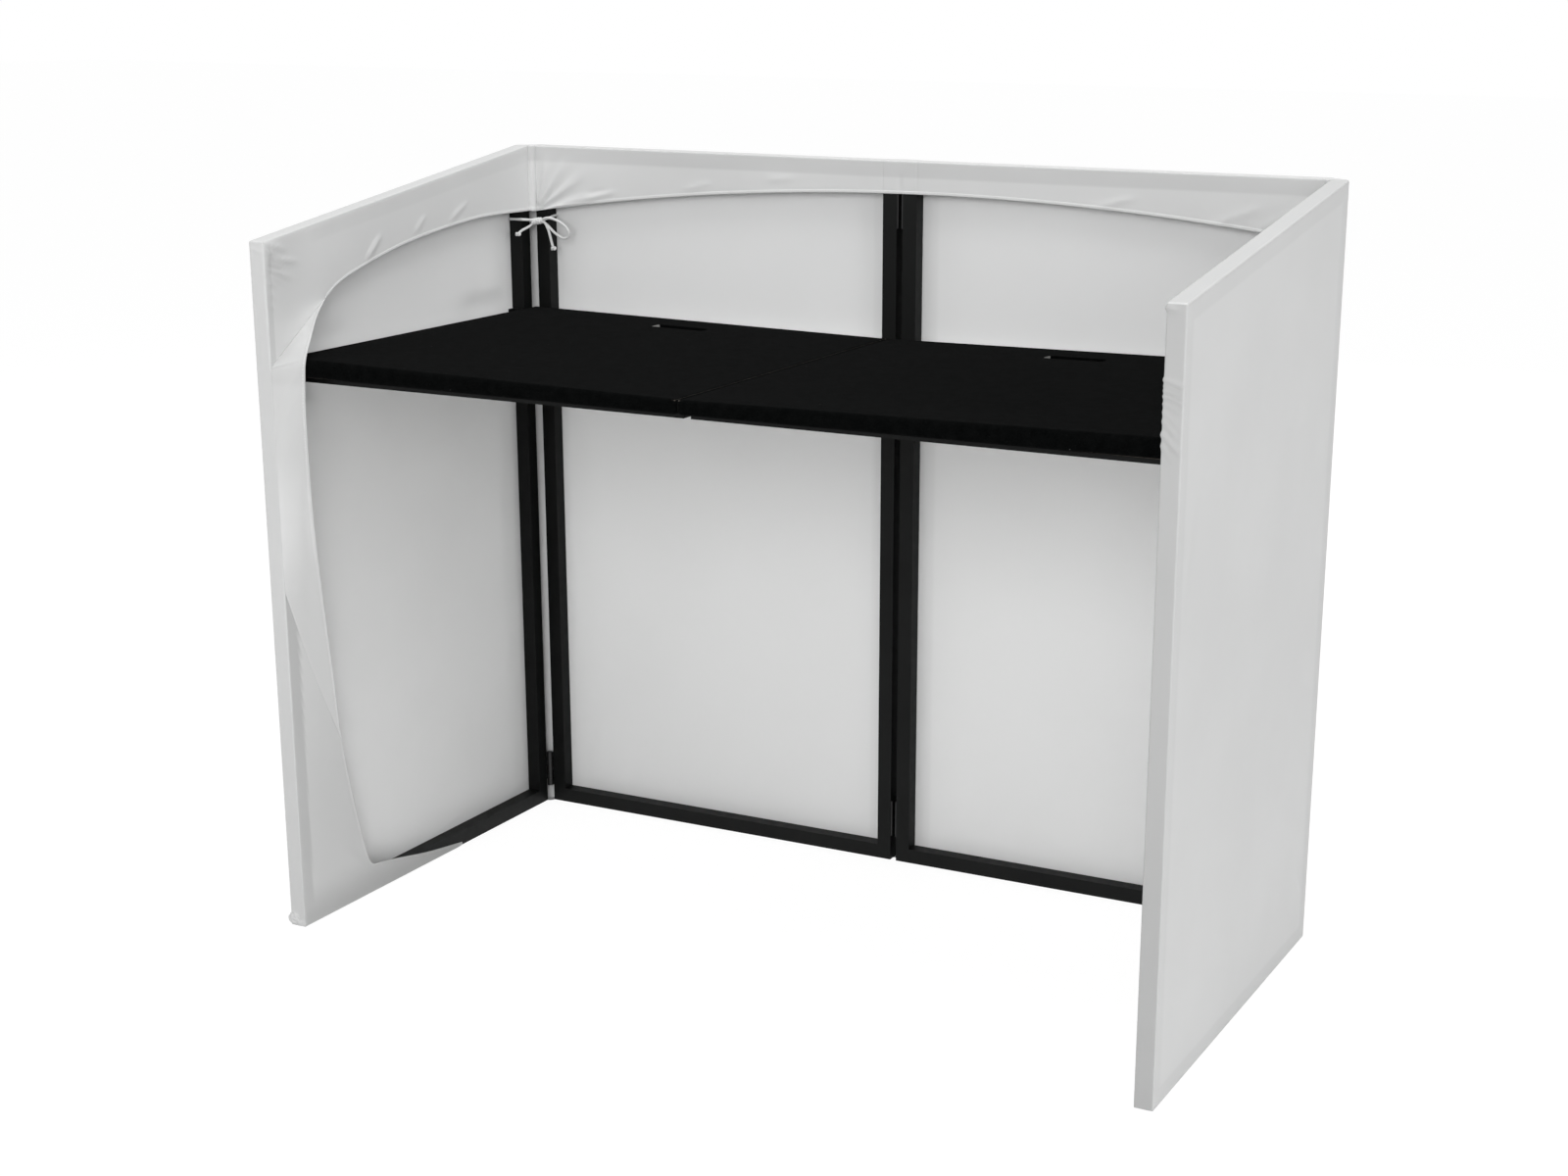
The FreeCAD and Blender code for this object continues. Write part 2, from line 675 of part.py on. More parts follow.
def drawcord():
    corner = Vector(-inner_half_width, front_y, corner_hem["left"])
    first, last = [corner + Vector(*place) for place in bow_knot_ends]
    body = Part.makeCylinder(bow_knot_radius, (last - first).Length, first, last - first)
    bow = fused([body] + [Part.makeSphere(bow_knot_radius, place) for place in (first, last)])
    end_knots = []
    for route in (left_tail_route, right_tail_route):
        end_knots.append(Part.makeSphere(end_knot_radius, corner + Vector(*route[-1])))
    knots = [bow] + end_knots
    ties = Part.makeCompound(knots)
    leads = [cord_tube("left lead", left_lead_route), cord_tube("right lead", right_lead_route)]
    return {
        "drawcord_knots": ties,
        "drawcord_leads": Part.makeCompound([lead.cut(ties) for lead in leads]),
        "drawcord_loop": cord_tube("loop", loop_route).cut(ties),
        "drawcord_left_tail": cord_tube("left tail", left_tail_route).cut(ties),
        "drawcord_right_tail": cord_tube("right tail", right_tail_route).cut(ties),
    }


# Assembly

def side_nodes(side):
    """Every node of one side, built on the left and mirrored for the right."""
    flip = mirrored if side == "right" else (lambda shape: shape)
    front, wing = front_frame(), wing_frame()
    corner_pin = Vector(corner_pin_offset - inner_half_width, front_y - corner_pin_offset, 0)
    middle_pin = Vector(0, front_outer_y + middle_pin_offset, 0)
    left, right, user, audience = Vector(-1, 0, 0), Vector(1, 0, 0), Vector(0, -1, 0), Vector(0, 1, 0)

    wing_leaves, wing_screws, wing_places = leaf_set(
        corner_pin, left, user, corner_hinge_inset, 1, running_clearance)
    front_leaves, corner_screws, corner_places = leaf_set(
        corner_pin, audience, right, corner_hinge_inset, 0, 0.0)
    parity = 0 if side == "left" else 1
    clearance = 0.0 if side == "left" else running_clearance
    middle_leaves, middle_screws, middle_places = leaf_set(
        middle_pin, user, left, middle_hinge_inset, parity, clearance)

    far_bracket, far_screws, far_holes = wing_bracket(post_face_far, 1, far_shelf)
    near_bracket, near_screws, near_holes = wing_bracket(post_face_near, -1, near_shelf)
    angle, angle_screws, angle_holes = middle_bracket()

    hole = leaf_screw_diameter / 2 + screw_clearance
    cuts = {
        "wing_far_post": screw_holes(wing_places, user, hole) + far_holes,
        "wing_near_post": near_holes,
        "front_outer_post": screw_holes(corner_places, right, hole),
        "front_center_post": screw_holes(middle_places, left, hole) + angle_holes,
    }
    nodes = {}
    for name, tube in list(front.items()) + list(wing.items()):
        nodes[name] = tube.cut(Part.makeCompound(cuts[name])) if name in cuts else tube

    pins = [hinge_pin(corner_pin, bottom) for bottom in hinge_bottoms(corner_hinge_inset)]
    nodes["corner_hinge_wing_leaves"] = Part.makeCompound(wing_leaves)
    nodes["corner_hinge_front_leaves"] = Part.makeCompound(front_leaves)
    nodes["corner_hinge_pins"] = Part.makeCompound(pins)
    nodes["middle_hinge_leaves"] = Part.makeCompound(middle_leaves)
    nodes["front_screws"] = Part.makeCompound(corner_screws + middle_screws + angle_screws)
    nodes["wing_screws"] = Part.makeCompound(wing_screws + far_screws + near_screws)
    nodes["wing_table_brackets"] = Part.makeCompound([far_bracket, near_bracket])
    nodes["front_table_bracket"] = angle
    nodes["front_cover"] = front_cover()
    nodes["wing_cover"] = wing_cover()
    nodes["wing_cover_hem"] = wing_hem(corner_hem[side])
    nodes["corner_cover"] = corner_cover(corner_hem[side])
    nodes["near_flap"] = near_flap(side)
    built = {side + "_" + name: flip(shape) for name, shape in nodes.items()}
    built[side + "_front_cover_hem"] = front_cover_hem(side)
    return built


def build():
    nodes = {}
    for side in ("left", "right"):
        nodes.update(side_nodes(side))
    middle_pin = Vector(0, front_outer_y + middle_pin_offset, 0)
    pins = [hinge_pin(middle_pin, bottom) for bottom in hinge_bottoms(middle_hinge_inset)]
    nodes["middle_hinge_pins"] = Part.makeCompound(pins)
    nodes["middle_cover"] = middle_cover()
    for side, span in table_spans.items():
        for name, shape in table_half(*span).items():
            nodes[side + "_" + name] = shape
    nodes.update(drawcord())
    return nodes


def main():
    os.makedirs("parts", exist_ok=True)
    for name, shape in sorted(build().items()):
        good = shape.isValid() and all(solid.Volume > 0 for solid in shape.Solids)
        print(name, len(shape.Solids), "solids", round(shape.Volume), "mm3", "" if good else "NOT VALID")
        shape.exportStep("parts/" + name + ".step")


main()
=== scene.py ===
# %% [markdown]
# # A folding booth with a white stretch cover
# The booth is four hinged steel frames that stand in a U, a two-piece table between them, and one
# white stretch cover pulled over the outside. The steel comes ready from the imported model. What Blender
# adds is everything soft: the cover with its drawn hem, the cord in that hem, and the felt on the table.
# The imported model is loaded first. The dressed booth has to stay in it.

# %% Load the imported model
import bmesh
import bpy
import math
from mathutils import Matrix, Vector, noise


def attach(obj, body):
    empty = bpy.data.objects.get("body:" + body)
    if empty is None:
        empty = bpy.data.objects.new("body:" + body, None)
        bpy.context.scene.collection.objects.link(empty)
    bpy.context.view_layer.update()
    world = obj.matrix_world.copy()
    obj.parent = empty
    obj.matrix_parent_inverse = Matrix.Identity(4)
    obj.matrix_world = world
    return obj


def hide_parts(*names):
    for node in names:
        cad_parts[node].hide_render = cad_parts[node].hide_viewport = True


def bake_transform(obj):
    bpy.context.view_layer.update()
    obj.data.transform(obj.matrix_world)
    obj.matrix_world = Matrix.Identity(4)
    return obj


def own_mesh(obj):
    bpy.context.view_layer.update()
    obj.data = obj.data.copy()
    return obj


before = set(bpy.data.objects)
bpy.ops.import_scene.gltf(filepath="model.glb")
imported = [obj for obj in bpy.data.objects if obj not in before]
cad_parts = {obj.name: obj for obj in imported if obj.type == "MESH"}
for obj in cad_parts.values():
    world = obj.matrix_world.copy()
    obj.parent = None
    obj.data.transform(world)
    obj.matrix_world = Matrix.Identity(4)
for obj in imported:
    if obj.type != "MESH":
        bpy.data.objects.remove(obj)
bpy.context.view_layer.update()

# %% [markdown]
# ## Camera
# The photograph was taken from the user's right, a little above the booth's top. The camera's place and
# turn were worked out from the booth's straight edges. The frame was cropped off centre, so the lens is
# shifted by a small amount instead of being turned, which keeps the upright edges leaning as they should.

# %% Place the camera
camera_place = (1.7304, -3.2751, 1.5)
camera_turns = (26.52, 16.26, 0.33)             # yaw, pitch and roll in degrees
camera_data = bpy.data.cameras.new("photo_camera")
camera_data.sensor_width, camera_data.lens = 36.0, 55.57
camera_data.shift_x, camera_data.shift_y = -0.0457, 0.0591
camera = bpy.data.objects.new("photo_camera", camera_data)
bpy.context.scene.collection.objects.link(camera)
bpy.context.scene.camera = camera

yaw, pitch, roll = (math.radians(angle) for angle in camera_turns)
ahead = Vector((-math.sin(yaw) * math.cos(pitch), math.cos(yaw) * math.cos(pitch), -math.sin(pitch)))
level = Vector((math.cos(yaw), math.sin(yaw), 0.0))
upward = level.cross(ahead)
right_hand = level * math.cos(roll) + upward * math.sin(roll)
overhead = upward * math.cos(roll) - level * math.sin(roll)
turn = Matrix((right_hand, overhead, -ahead)).transposed().to_4x4()
camera.matrix_world = Matrix.Translation(camera_place) @ turn
print("camera at", tuple(round(value, 3) for value in camera.matrix_world.translation))

# %% [markdown]
# ## Finishes
# Every finish is built from nodes. A noise or a wave gives the small relief, a second one shifts the
# colour a little, and both come from the object's own coordinates, so the pattern stays on a panel when
# the panel swings. A number that is the same all over is set on the shader itself.

# %% Helpers for finishes
def start_finish(name):
    """A new material, its node tree and its shader."""
    material = bpy.data.materials.new(name)
    material.use_nodes = True
    tree = material.node_tree
    return material, tree, tree.nodes["Principled BSDF"]


def add_node(tree, kind, settings=None, inputs=None):
    """A node with its settings, and with its inputs set or linked."""
    node = tree.nodes.new(kind)
    for key, value in (settings or {}).items():
        setattr(node, key, value)
    for key, value in (inputs or {}).items():
        if isinstance(value, bpy.types.NodeSocket):
            tree.links.new(value, node.inputs[key])
        else:
            node.inputs[key].default_value = value
    return node


def object_place(tree):
    return add_node(tree, "ShaderNodeTexCoord").outputs["Object"]


def shades(tree, value, low, high, start=0.3, end=0.7):
    """A ramp from one colour to another over a value."""
    ramp = add_node(tree, "ShaderNodeValToRGB", inputs={"Fac": value})
    ramp.color_ramp.elements[0].position, ramp.color_ramp.elements[1].position = start, end
    ramp.color_ramp.elements[0].color, ramp.color_ramp.elements[1].color = (*low, 1), (*high, 1)
    return ramp.outputs["Color"]


def speckle(tree, place, scale, detail=3.0, roughness=0.55):
    inputs = {"Vector": place, "Scale": scale, "Detail": detail, "Roughness": roughness}
    return add_node(tree, "ShaderNodeTexNoise", inputs=inputs).outputs["Fac"]


def sums(tree, operation, first, second):
    return add_node(tree, "ShaderNodeMath", {"operation": operation}, {0: first, 1: second}).outputs[0]


def shared(tree, first, second, share):
    """Two values added, the first with this share and the second with the rest."""
    return sums(tree, "ADD", sums(tree, "MULTIPLY", first, share), sums(tree, "MULTIPLY", second, 1 - share))


def mix_color(tree, factor, first, second, blend="MIX"):
    settings = {"data_type": "RGBA", "blend_type": blend}
    return add_node(tree, "ShaderNodeMix", settings, {"Factor": factor, 6: first, 7: second}).outputs[2]


def spread(tree, value, low, high):
    """A value from 0 to 1 spread over another range."""
    inputs = {"Value": value, "To Min": low, "To Max": high}
    return add_node(tree, "ShaderNodeMapRange", inputs=inputs).outputs[0]


def waves(tree, place, direction, scale, distortion, detail):
    inputs = {"Vector": place, "Scale": scale, "Distortion": distortion, "Detail": detail}
    return add_node(tree, "ShaderNodeTexWave", {"bands_direction": direction}, inputs).outputs["Fac"]


def cells(tree, place, scale):
    inputs = {"Vector": place, "Scale": scale}
    return add_node(tree, "ShaderNodeTexVoronoi", inputs=inputs).outputs["Distance"]


def drawn_out(tree, place, scale):
    """Places stretched along some axes, for streaks and grain."""
    return add_node(tree, "ShaderNodeMapping", inputs={"Vector": place, "Scale": scale}).outputs[0]


def dress(tree, shader, color, roughness, height, strength, distance, settings=None):
    """Link a finish's colour, roughness and relief, and set what is the same all over it."""
    inputs = {"Height": height, "Strength": strength, "Distance": distance}
    bump = add_node(tree, "ShaderNodeBump", inputs=inputs)
    links = {"Base Color": color, "Roughness": roughness, "Normal": bump.outputs["Normal"]}
    for socket, value in links.items():
        tree.links.new(value, shader.inputs[socket])
    for socket, value in (settings or {}).items():
        shader.inputs[socket].default_value = value


# %% [markdown]
# ### Cover cloth
# The cover is a matt white stretch knit. Close up it has fine ribs, from far away it is even, with a
# slight change of tone. It is thin, so light comes through, and that light is painted into the colour:
# there are three finishes that differ in how white they are, the outside and two lighter copies with
# painted light for the inside of the front and the inside of the wings. Painted shade is a number on the
# mesh: it darkens the cloth where a tube lies right behind it, and wherever else the booth shades it.
# The hem's stitches are drawn from two more numbers on the mesh: the distance along the hem and the
# distance from its edge.

# %% Cover cloth finish
cloth_numbers = ("painted_shade", "hem_run", "hem_gap")
tube_shade = (0.6, 0.6, 0.6, 1.0)               # full painted shade multiplies the cloth's colour by this much
stitch_row, stitch_half, stitch_length, stitch_space = 0.0036, 0.0005, 0.0042, 0.38


def cover_cloth_finish(name, white):
    material, tree, shader = start_finish(name)
    place = object_place(tree)
    tone = shades(tree, speckle(tree, place, 3.5), (white - 0.017, white - 0.013, white - 0.015),
                  (white + 0.017, white + 0.021, white + 0.019))
    painted_shade, run, gap = (add_node(tree, "ShaderNodeAttribute", {"attribute_name": label}).outputs["Fac"]
                         for label in cloth_numbers)
    # Painted shade: the tone is multiplied towards tube_shade by the mesh's shade number.
    behind = mix_color(tree, painted_shade, tone, tube_shade, "MULTIPLY")
    row = add_node(tree, "ShaderNodeMath", {"operation": "COMPARE"},
                   {0: gap, 1: stitch_row, 2: stitch_half}).outputs[0]
    along = sums(tree, "FRACT", sums(tree, "DIVIDE", run, stitch_length), 0.0)
    stitch = sums(tree, "MULTIPLY", row, sums(tree, "GREATER_THAN", along, stitch_space))
    color = mix_color(tree, sums(tree, "MULTIPLY", row, 0.5), behind, (0.62, 0.624, 0.622, 1.0))
    color = mix_color(tree, stitch, color, (0.74, 0.74, 0.74, 1.0))
    knit = shared(tree, waves(tree, place, "Z", 260.0, 0.6, 1.0), cells(tree, place, 900.0), 0.5)
    height = sums(tree, "ADD", knit, sums(tree, "MULTIPLY", stitch, 2.0))
    dress(tree, shader, color, spread(tree, speckle(tree, place, 40.0), 0.78, 0.92), height, 0.12, 0.0004,
          {"Sheen Weight": 0.12, "Sheen Roughness": 0.6, "Specular IOR Level": 0.25})
    return material


# The inside finishes are lighter copies of the outside one: painted light, for the light that comes through
# the thin cloth.
white_knit = cover_cloth_finish("white_knit_outside", 0.745)
front_inside_lit_knit = cover_cloth_finish("white_knit_inside_lit_through", 0.95)
wing_inside_lit_knit = cover_cloth_finish("white_knit_wing_inside_lit_through", 0.905)
print("finishes", white_knit.name, front_inside_lit_knit.name, wing_inside_lit_knit.name)

# %% [markdown]
# ### Steel, felt, plywood and cord
# Powder coat has a fine orange peel and is a little shinier where it is rubbed. The hinges are satin
# black, the screws are zinc plated and blackened. The felt is needled fibre: short dark fuzz with specks
# of lint, and no gloss. A faint sheen makes its top lighter than its edges, which is how the seam and the
# slots show. Its back is grey fleece. The plywood under it is stained dark and shows its grain. The cord
# is a white braid, whose strands cross at a slant.

# %% Powder coat, hinge and screw finishes
def coated_steel(name, low, high, roughness, grain, shine):
    material, tree, shader = start_finish(name)
    place = object_place(tree)
    rubbed = spread(tree, speckle(tree, place, 60.0), *roughness)
    dress(tree, shader, shades(tree, speckle(tree, place, 9.0), low, high), rubbed,
          speckle(tree, place, grain, 2.0), 0.25, 0.0002, {"Specular IOR Level": shine})
    return material


def black_zinc_finish():
    material, tree, shader = start_finish("black_zinc_screw")
    streaks = drawn_out(tree, object_place(tree), (1.0, 1.0, 8.0))
    tone = shades(tree, speckle(tree, streaks, 300.0), (0.05, 0.05, 0.052), (0.14, 0.14, 0.145))
    dress(tree, shader, tone, spread(tree, speckle(tree, streaks, 500.0), 0.25, 0.45),
          speckle(tree, streaks, 900.0), 0.15, 0.0001, {"Metallic": 1.0})
    return material


black_powder = coated_steel("black_powder_coat", (0.003, 0.0033, 0.0032), (0.006, 0.0065, 0.0063),
                            (0.42, 0.6), 700.0, 0.13)
black_satin = coated_steel("black_satin_hinge", (0.006, 0.006, 0.006), (0.014, 0.014, 0.014),
                           (0.25, 0.4), 1100.0, 0.4)
black_zinc = black_zinc_finish()
print("steel finishes", black_powder.name, black_satin.name, black_zinc.name)

# %% Felt, fleece, plywood and braid finishes
def felt_finish():
    material, tree, shader = start_finish("black_needle_felt")
    place = object_place(tree)
    fuzz, tufts = speckle(tree, place, 420.0, 6.0, 0.7), speckle(tree, place, 60.0, 4.0, 0.6)
    fibre = shared(tree, fuzz, tufts, 0.6)
    dark = shades(tree, fibre, (0.001, 0.0012, 0.0012), (0.0054, 0.0058, 0.0058), 0.35, 0.75)
    lint = sums(tree, "LESS_THAN", cells(tree, place, 25.0), 0.018)
    color = mix_color(tree, lint, dark, (0.09, 0.09, 0.086, 1.0))
    dress(tree, shader, color, spread(tree, fuzz, 0.88, 1.0), fibre, 0.9, 0.0016,
          {"Specular IOR Level": 0.0, "Sheen Weight": 0.014, "Sheen Roughness": 0.45})
    return material


def fleece_finish():
    material, tree, shader = start_finish("grey_fleece_backing")
    fibre = speckle(tree, object_place(tree), 700.0, 4.0)
    dress(tree, shader, shades(tree, fibre, (0.16, 0.16, 0.155), (0.3, 0.3, 0.29)),
          spread(tree, fibre, 0.85, 1.0), fibre, 0.6, 0.0006)
    return material


def plywood_finish():
    material, tree, shader = start_finish("dark_plywood")
    grain = drawn_out(tree, object_place(tree), (1.2, 14.0, 14.0))
    fibre = speckle(tree, grain, 30.0, 5.0)
    rings = shared(tree, waves(tree, grain, "Y", 1.6, 7.0, 3.0), fibre, 0.55)
    dress(tree, shader, shades(tree, rings, (0.035, 0.028, 0.021), (0.075, 0.062, 0.048), 0.25, 0.75),
          spread(tree, fibre, 0.55, 0.75), fibre, 0.3, 0.0004)
    return material


def braid_finish():
    material, tree, shader = start_finish("white_braid")
    strands = waves(tree, object_place(tree), "DIAGONAL", 240.0, 1.5, 2.0)
    dress(tree, shader, shades(tree, strands, (0.66, 0.665, 0.662), (0.82, 0.825, 0.822)),
          spread(tree, strands, 0.7, 0.9), strands, 0.6, 0.0005, {"Sheen Weight": 0.1})
    return material


black_felt, grey_fleece = felt_finish(), fleece_finish()
plywood, white_braid = plywood_finish(), braid_finish()
print("finishes", len(bpy.data.materials))

# %% Put the finishes on the steel and the boards
for name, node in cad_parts.items():
    finish = black_powder
    if "hinge" in name:
        finish = black_satin
    elif "screws" in name:
        finish = black_zinc
    elif "board" in name:
        finish = plywood
    for index in range(len(node.material_slots)):
        node.material_slots[index].material = finish
    if not node.material_slots:
        node.data.materials.append(finish)
print("steel and boards finished")

# %% [markdown]
# ## Drawcord
# A cord runs in the hem and is tied in a bow at the far left corner. Each stretch is one smooth curve:
# a spline of order three, whose control points are the route that the solids follow. Straight pieces
# joined by arcs would look like bent wire. The points are offsets from the corner of the hem, in
# millimetres, because a bow is easier to think about that way.

# %% Cord stretches
hem_corner = Vector((-0.719, 0.34385, 1.09807))
cord_thickness = 0.0046
cord_routes = {
    "left_lead": [
        (16, -13.5, -16), (11, -25, -14.5), (6, -37.5, -13), (-8, -37.2, -13), (-22, -36.4, -13.5)],
    "right_lead": [
        (27, -10.5, -16), (33, -7.2, -13), (39.2, -3.5, -11), (37.6, 8, -9), (37.4, 19, -8.5)],
    "bow_loop": [
        (27.5, -11.5, -15), (37, -14, -10), (52, -14, -11), (66, -12, -16.5), (77, -10.5, -24.5),
        (82.5, -9.5, -34), (79.5, -9, -43.5), (69.5, -8.5, -45.5), (57, -9, -39.5), (47, -9.5, -32),
        (38.5, -9.5, -23.5), (28, -9.5, -17)],
    "left_tail": [
        (16, -13.5, -16), (11, -20, -24), (7, -30, -28.5), (3, -40, -32), (-1, -45, -38)],
    "right_tail": [
        (27, -10.5, -16), (34, -12, -18), (40.5, -11.5, -30), (43.5, -10, -44), (45.5, -9, -54.5),
        (48, -8.5, -63.5)],
}


def from_corner(offset):
    """A place that is given in millimetres from the corner of the hem."""
    return hem_corner + Vector(offset) * 0.001


def cord_stretch(name, route):
    """One stretch of cord as a smooth curve with a round section."""
    curve = bpy.data.curves.new(name, "CURVE")
    curve.dimensions = "3D"
    spline = curve.splines.new("NURBS")
    spline.points.add(len(route) - 1)
    for point, offset in zip(spline.points, route):
        point.co = (*from_corner(offset), 1.0)
    spline.order_u = 3
    spline.use_endpoint_u = True
    spline.resolution_u = 10
    curve.bevel_depth = cord_thickness / 2
    curve.bevel_resolution = 4
    curve.use_fill_caps = True
    stretch = bpy.data.objects.new(name, curve)
    bpy.context.scene.collection.objects.link(stretch)
    stretch.data.materials.append(white_braid)
    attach(stretch, "front_left")
    return stretch


stretches = {name: cord_stretch("drawcord_" + name + "_braid", route)
             for name, route in cord_routes.items()}
print("cord stretches", sorted(stretches))

# %% [markdown]
# A knot is cord wound round itself. The bow's knot is a short winding round the crossing strands, and each
# tail ends in a small overhand knot, which has the shape of a trefoil pulled tight. Both are tubes swept
# along a path given by a formula.

# %% Helper for meshes
def new_piece(name, points, faces, finish):
    """A mesh object from points and faces, smooth shaded."""
    mesh = bpy.data.meshes.new(name)
    mesh.from_pydata([tuple(point) for point in points], [], faces)
    work = bmesh.new()
    work.from_mesh(mesh)
    bmesh.ops.remove_doubles(work, verts=work.verts, dist=0.000005)
    bmesh.ops.recalc_face_normals(work, faces=work.faces)
    work.to_mesh(mesh)
    work.free()
    mesh.polygons.foreach_set("use_smooth", [True] * len(mesh.polygons))
    piece = bpy.data.objects.new(name, mesh)
    bpy.context.scene.collection.objects.link(piece)
    mesh.materials.append(finish)
    return piece


def grid_faces(rows, columns, offset=0, closed=False):
    faces = []
    for row in range(rows - 1):
        for column in range(columns if closed else columns - 1):
            after = (column + 1) % columns
            faces.append((offset + row * columns + column, offset + row * columns + after,
                          offset + (row + 1) * columns + after, offset + (row + 1) * columns + column))
    return faces


def swept_tube(path, radius, around=10):
    """Points and faces of a tube along a path, with capped ends."""
    points, side = [], Vector((0.3, 0.2, 1.0))
    for index, place in enumerate(path):
        run = path[min(index + 1, len(path) - 1)] - path[max(index - 1, 0)]
        run.normalize()
        side = (side - run * side.dot(run)).normalized()
        other = run.cross(side)
        for step in range(around):
            angle = 2 * math.pi * step / around
            points.append(place + side * (radius * math.cos(angle)) + other * (radius * math.sin(angle)))
    faces = grid_faces(len(path), around, closed=True)
    faces.append(tuple(range(around)))
    faces.append(tuple(range(len(points) - around, len(points))))
    return points, faces


# %% Bow knot and end knots
def joined(parts):
    """Several lots of points and faces as one."""
    points, faces = [], []
    for more_points, more_faces in parts:
        faces += [tuple(index + len(points) for index in face) for face in more_faces]
        points += more_points
    return points, faces


def winding(first, last, turns, radius, thickness):
    """Cord wound round the line from first to last."""
    axis = (last - first).normalized()
    side = axis.orthogonal().normalized()
    other = axis.cross(side)
    steps = 16 * turns
    path = []
    for step in range(steps + 1):
        share = step / steps
        angle = 2 * math.pi * turns * share
        swell = radius * (0.8 + 0.2 * math.sin(math.pi * share))
        ring = side * math.cos(angle) + other * math.sin(angle)
        path.append(first.lerp(last, share) + ring * swell)
    return swept_tube(path, thickness)


def trefoil(middle, size, thickness):
    path = []
    for step in range(49):
        angle = 2 * math.pi * step / 48
        path.append(middle + Vector((
            math.sin(angle) + 2 * math.sin(2 * angle),
            math.cos(angle) - 2 * math.cos(2 * angle),
            -1.3 * math.sin(3 * angle))) * (size / 3))
    return swept_tube(path, thickness)


knot_ends = [from_corner(offset) for offset in ((10.5, -17.5, -18.5), (29, -10, -15.5))]
tail_ends = [from_corner(cord_routes[name][-1]) for name in ("left_tail", "right_tail")]
knot_parts = [winding(*knot_ends, turns=5, radius=0.004, thickness=0.0025)]
knot_parts += [trefoil(end, size=0.0036, thickness=0.002) for end in tail_ends]
knots = new_piece("drawcord_knots_braid", *joined(knot_parts), white_braid)
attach(knots, "front_left")
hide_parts("drawcord_knots")
print("knots", len(knots.data.vertices), "points")

# %% Say what each stretch of cord is
cord_facts = {                                  # end where it leaves the object, length, lay and node
    "left_lead": (-1, 0.0527, "taut", "drawcord_leads"),
    "right_lead": (-1, 0.037, "taut", "drawcord_leads"),
    "bow_loop": (0, 0.1344, "hanging", "drawcord_loop"),
    "left_tail": (0, 0.0429, "hanging", "drawcord_left_tail"),
    "right_tail": (0, 0.0548, "hanging", "drawcord_right_tail"),
}
for name, (exit_point, length, lay, node) in cord_facts.items():
    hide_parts(node)
print("cords declared", len(cord_facts))

# %% [markdown]
# ## Cover: how the cloth is laid out
# The real cover is one sewn piece of knit. It stretches over the outside of the frames, goes over the
# top, and comes down inside to a hem. Here it is cut where the hinges are, so that each panel's cloth can
# ride on its own frame. A cloth simulation would take long and would wander off the steel, so the sheets
# are laid out: a column of points starts under the bottom rail, runs up the outside, over the
# top with rounded edges and down to the hem. Many columns side by side make a sheet.

# %% Sizes the cover follows
side_signs = {"left": -1, "right": 1}
wing_plane, wing_outside = 0.7178, 0.7452       # cloth on a wing's inner and outer faces, from the middle
front_plane, front_outside = 0.34265, 0.37005   # the same for the front panels, along Y
front_line = 0.34385                            # inner face of the front frames; "back" is measured from it
cover_top, cover_foot = 1.2102, 0.0005
corner_hem = {"left": 1.09807, "right": 1.11099}    # height of the hem at the far corners
wing_slope = 0.1429
near_end = 0.7222                               # cloth round a near post, measured back from the front line
outer_far, inner_far = 0.009, 0.011             # where a wing's cloth starts, outside and inside
corner_post, corner_inside = 0.71, 0.708        # where a front panel's cloth starts, outside and inside
middle_strip = 0.0305
fold, foot_fold = 0.0025, 0.0012                # radius of the cloth round a tube's edge, and at the floor
tube = 0.025
turn_in = 0.0185                                # cloth under the bottom rails
casing, casing_rise = 0.004, 0.0002             # width of the hem's casing, and its swell
no_hem = 1.0
cloth_thickness = 0.0009
shade_on_tube, faint = 0.3, 0.12                       # painted shade where a tube lies right behind the cloth, and a fainter one


def smooth(low, high, value):
    share = min(max((value - low) / (high - low), 0.0), 1.0)
    return share * share * (3 - 2 * share)


def front_hem(x):
    """Height of the front panels' hem, which is one long arc."""
    return 1.1575 + 0.010915 * x - 0.10365 * x * x


def even_steps(low, high, count):
    return [low + (high - low) * step / count for step in range(count)]


# Spacing of points up a panel: close together at the foot and above the table, where the folds are
face_shares = even_steps(0.0, 0.12, 52) + even_steps(0.12, 0.62, 22)
face_shares += even_steps(0.62, 0.8, 34) + even_steps(0.8, 1.0, 110) + [1.0]
along_steps = 110
quarter = [math.radians(90 * step / 4) for step in range(1, 4)]
print("points up a panel", len(face_shares))

# %% [markdown]
# Each point of the cloth carries three numbers besides its place: how much painted shade darkens it,
# where a tube lies behind it or the booth shades it, how far along the hem it is, and how far from the
# hem's edge. Folds are added as soft ridges along short lines, so each one can be put where the
# photograph shows it. A ridge is written as one row in millimetres: its first end, its last end, half its
# width, and its height.

# %% Soft ridges
def ridge_height(lines, across, up):
    """Height in metres, at a place in metres, of all the ridges in lines."""
    across, up, total = across * 1000, up * 1000, 0.0
    for x1, z1, x2, z2, width, height in lines:
        run_x, run_z = x2 - x1, z2 - z1
        length = math.hypot(run_x, run_z)
        share = ((across - x1) * run_x + (up - z1) * run_z) / (length * length)
        if -0.3 < share < 1.3:
            away = ((across - x1) * run_z - (up - z1) * run_x) / length
            if abs(away) < 3 * width:
                ends = smooth(-0.3, 0.3, share) * smooth(1.3, 0.7, share)
                total += height * ends * math.exp(-(away / width) ** 2)
    return total * 0.001


def slow_wave(across, up, seed, height):
    """A broad, shallow unevenness of stretched cloth."""
    return height * noise.noise(Vector((across * 3.1 + seed, up * 2.7, seed * 1.7)))


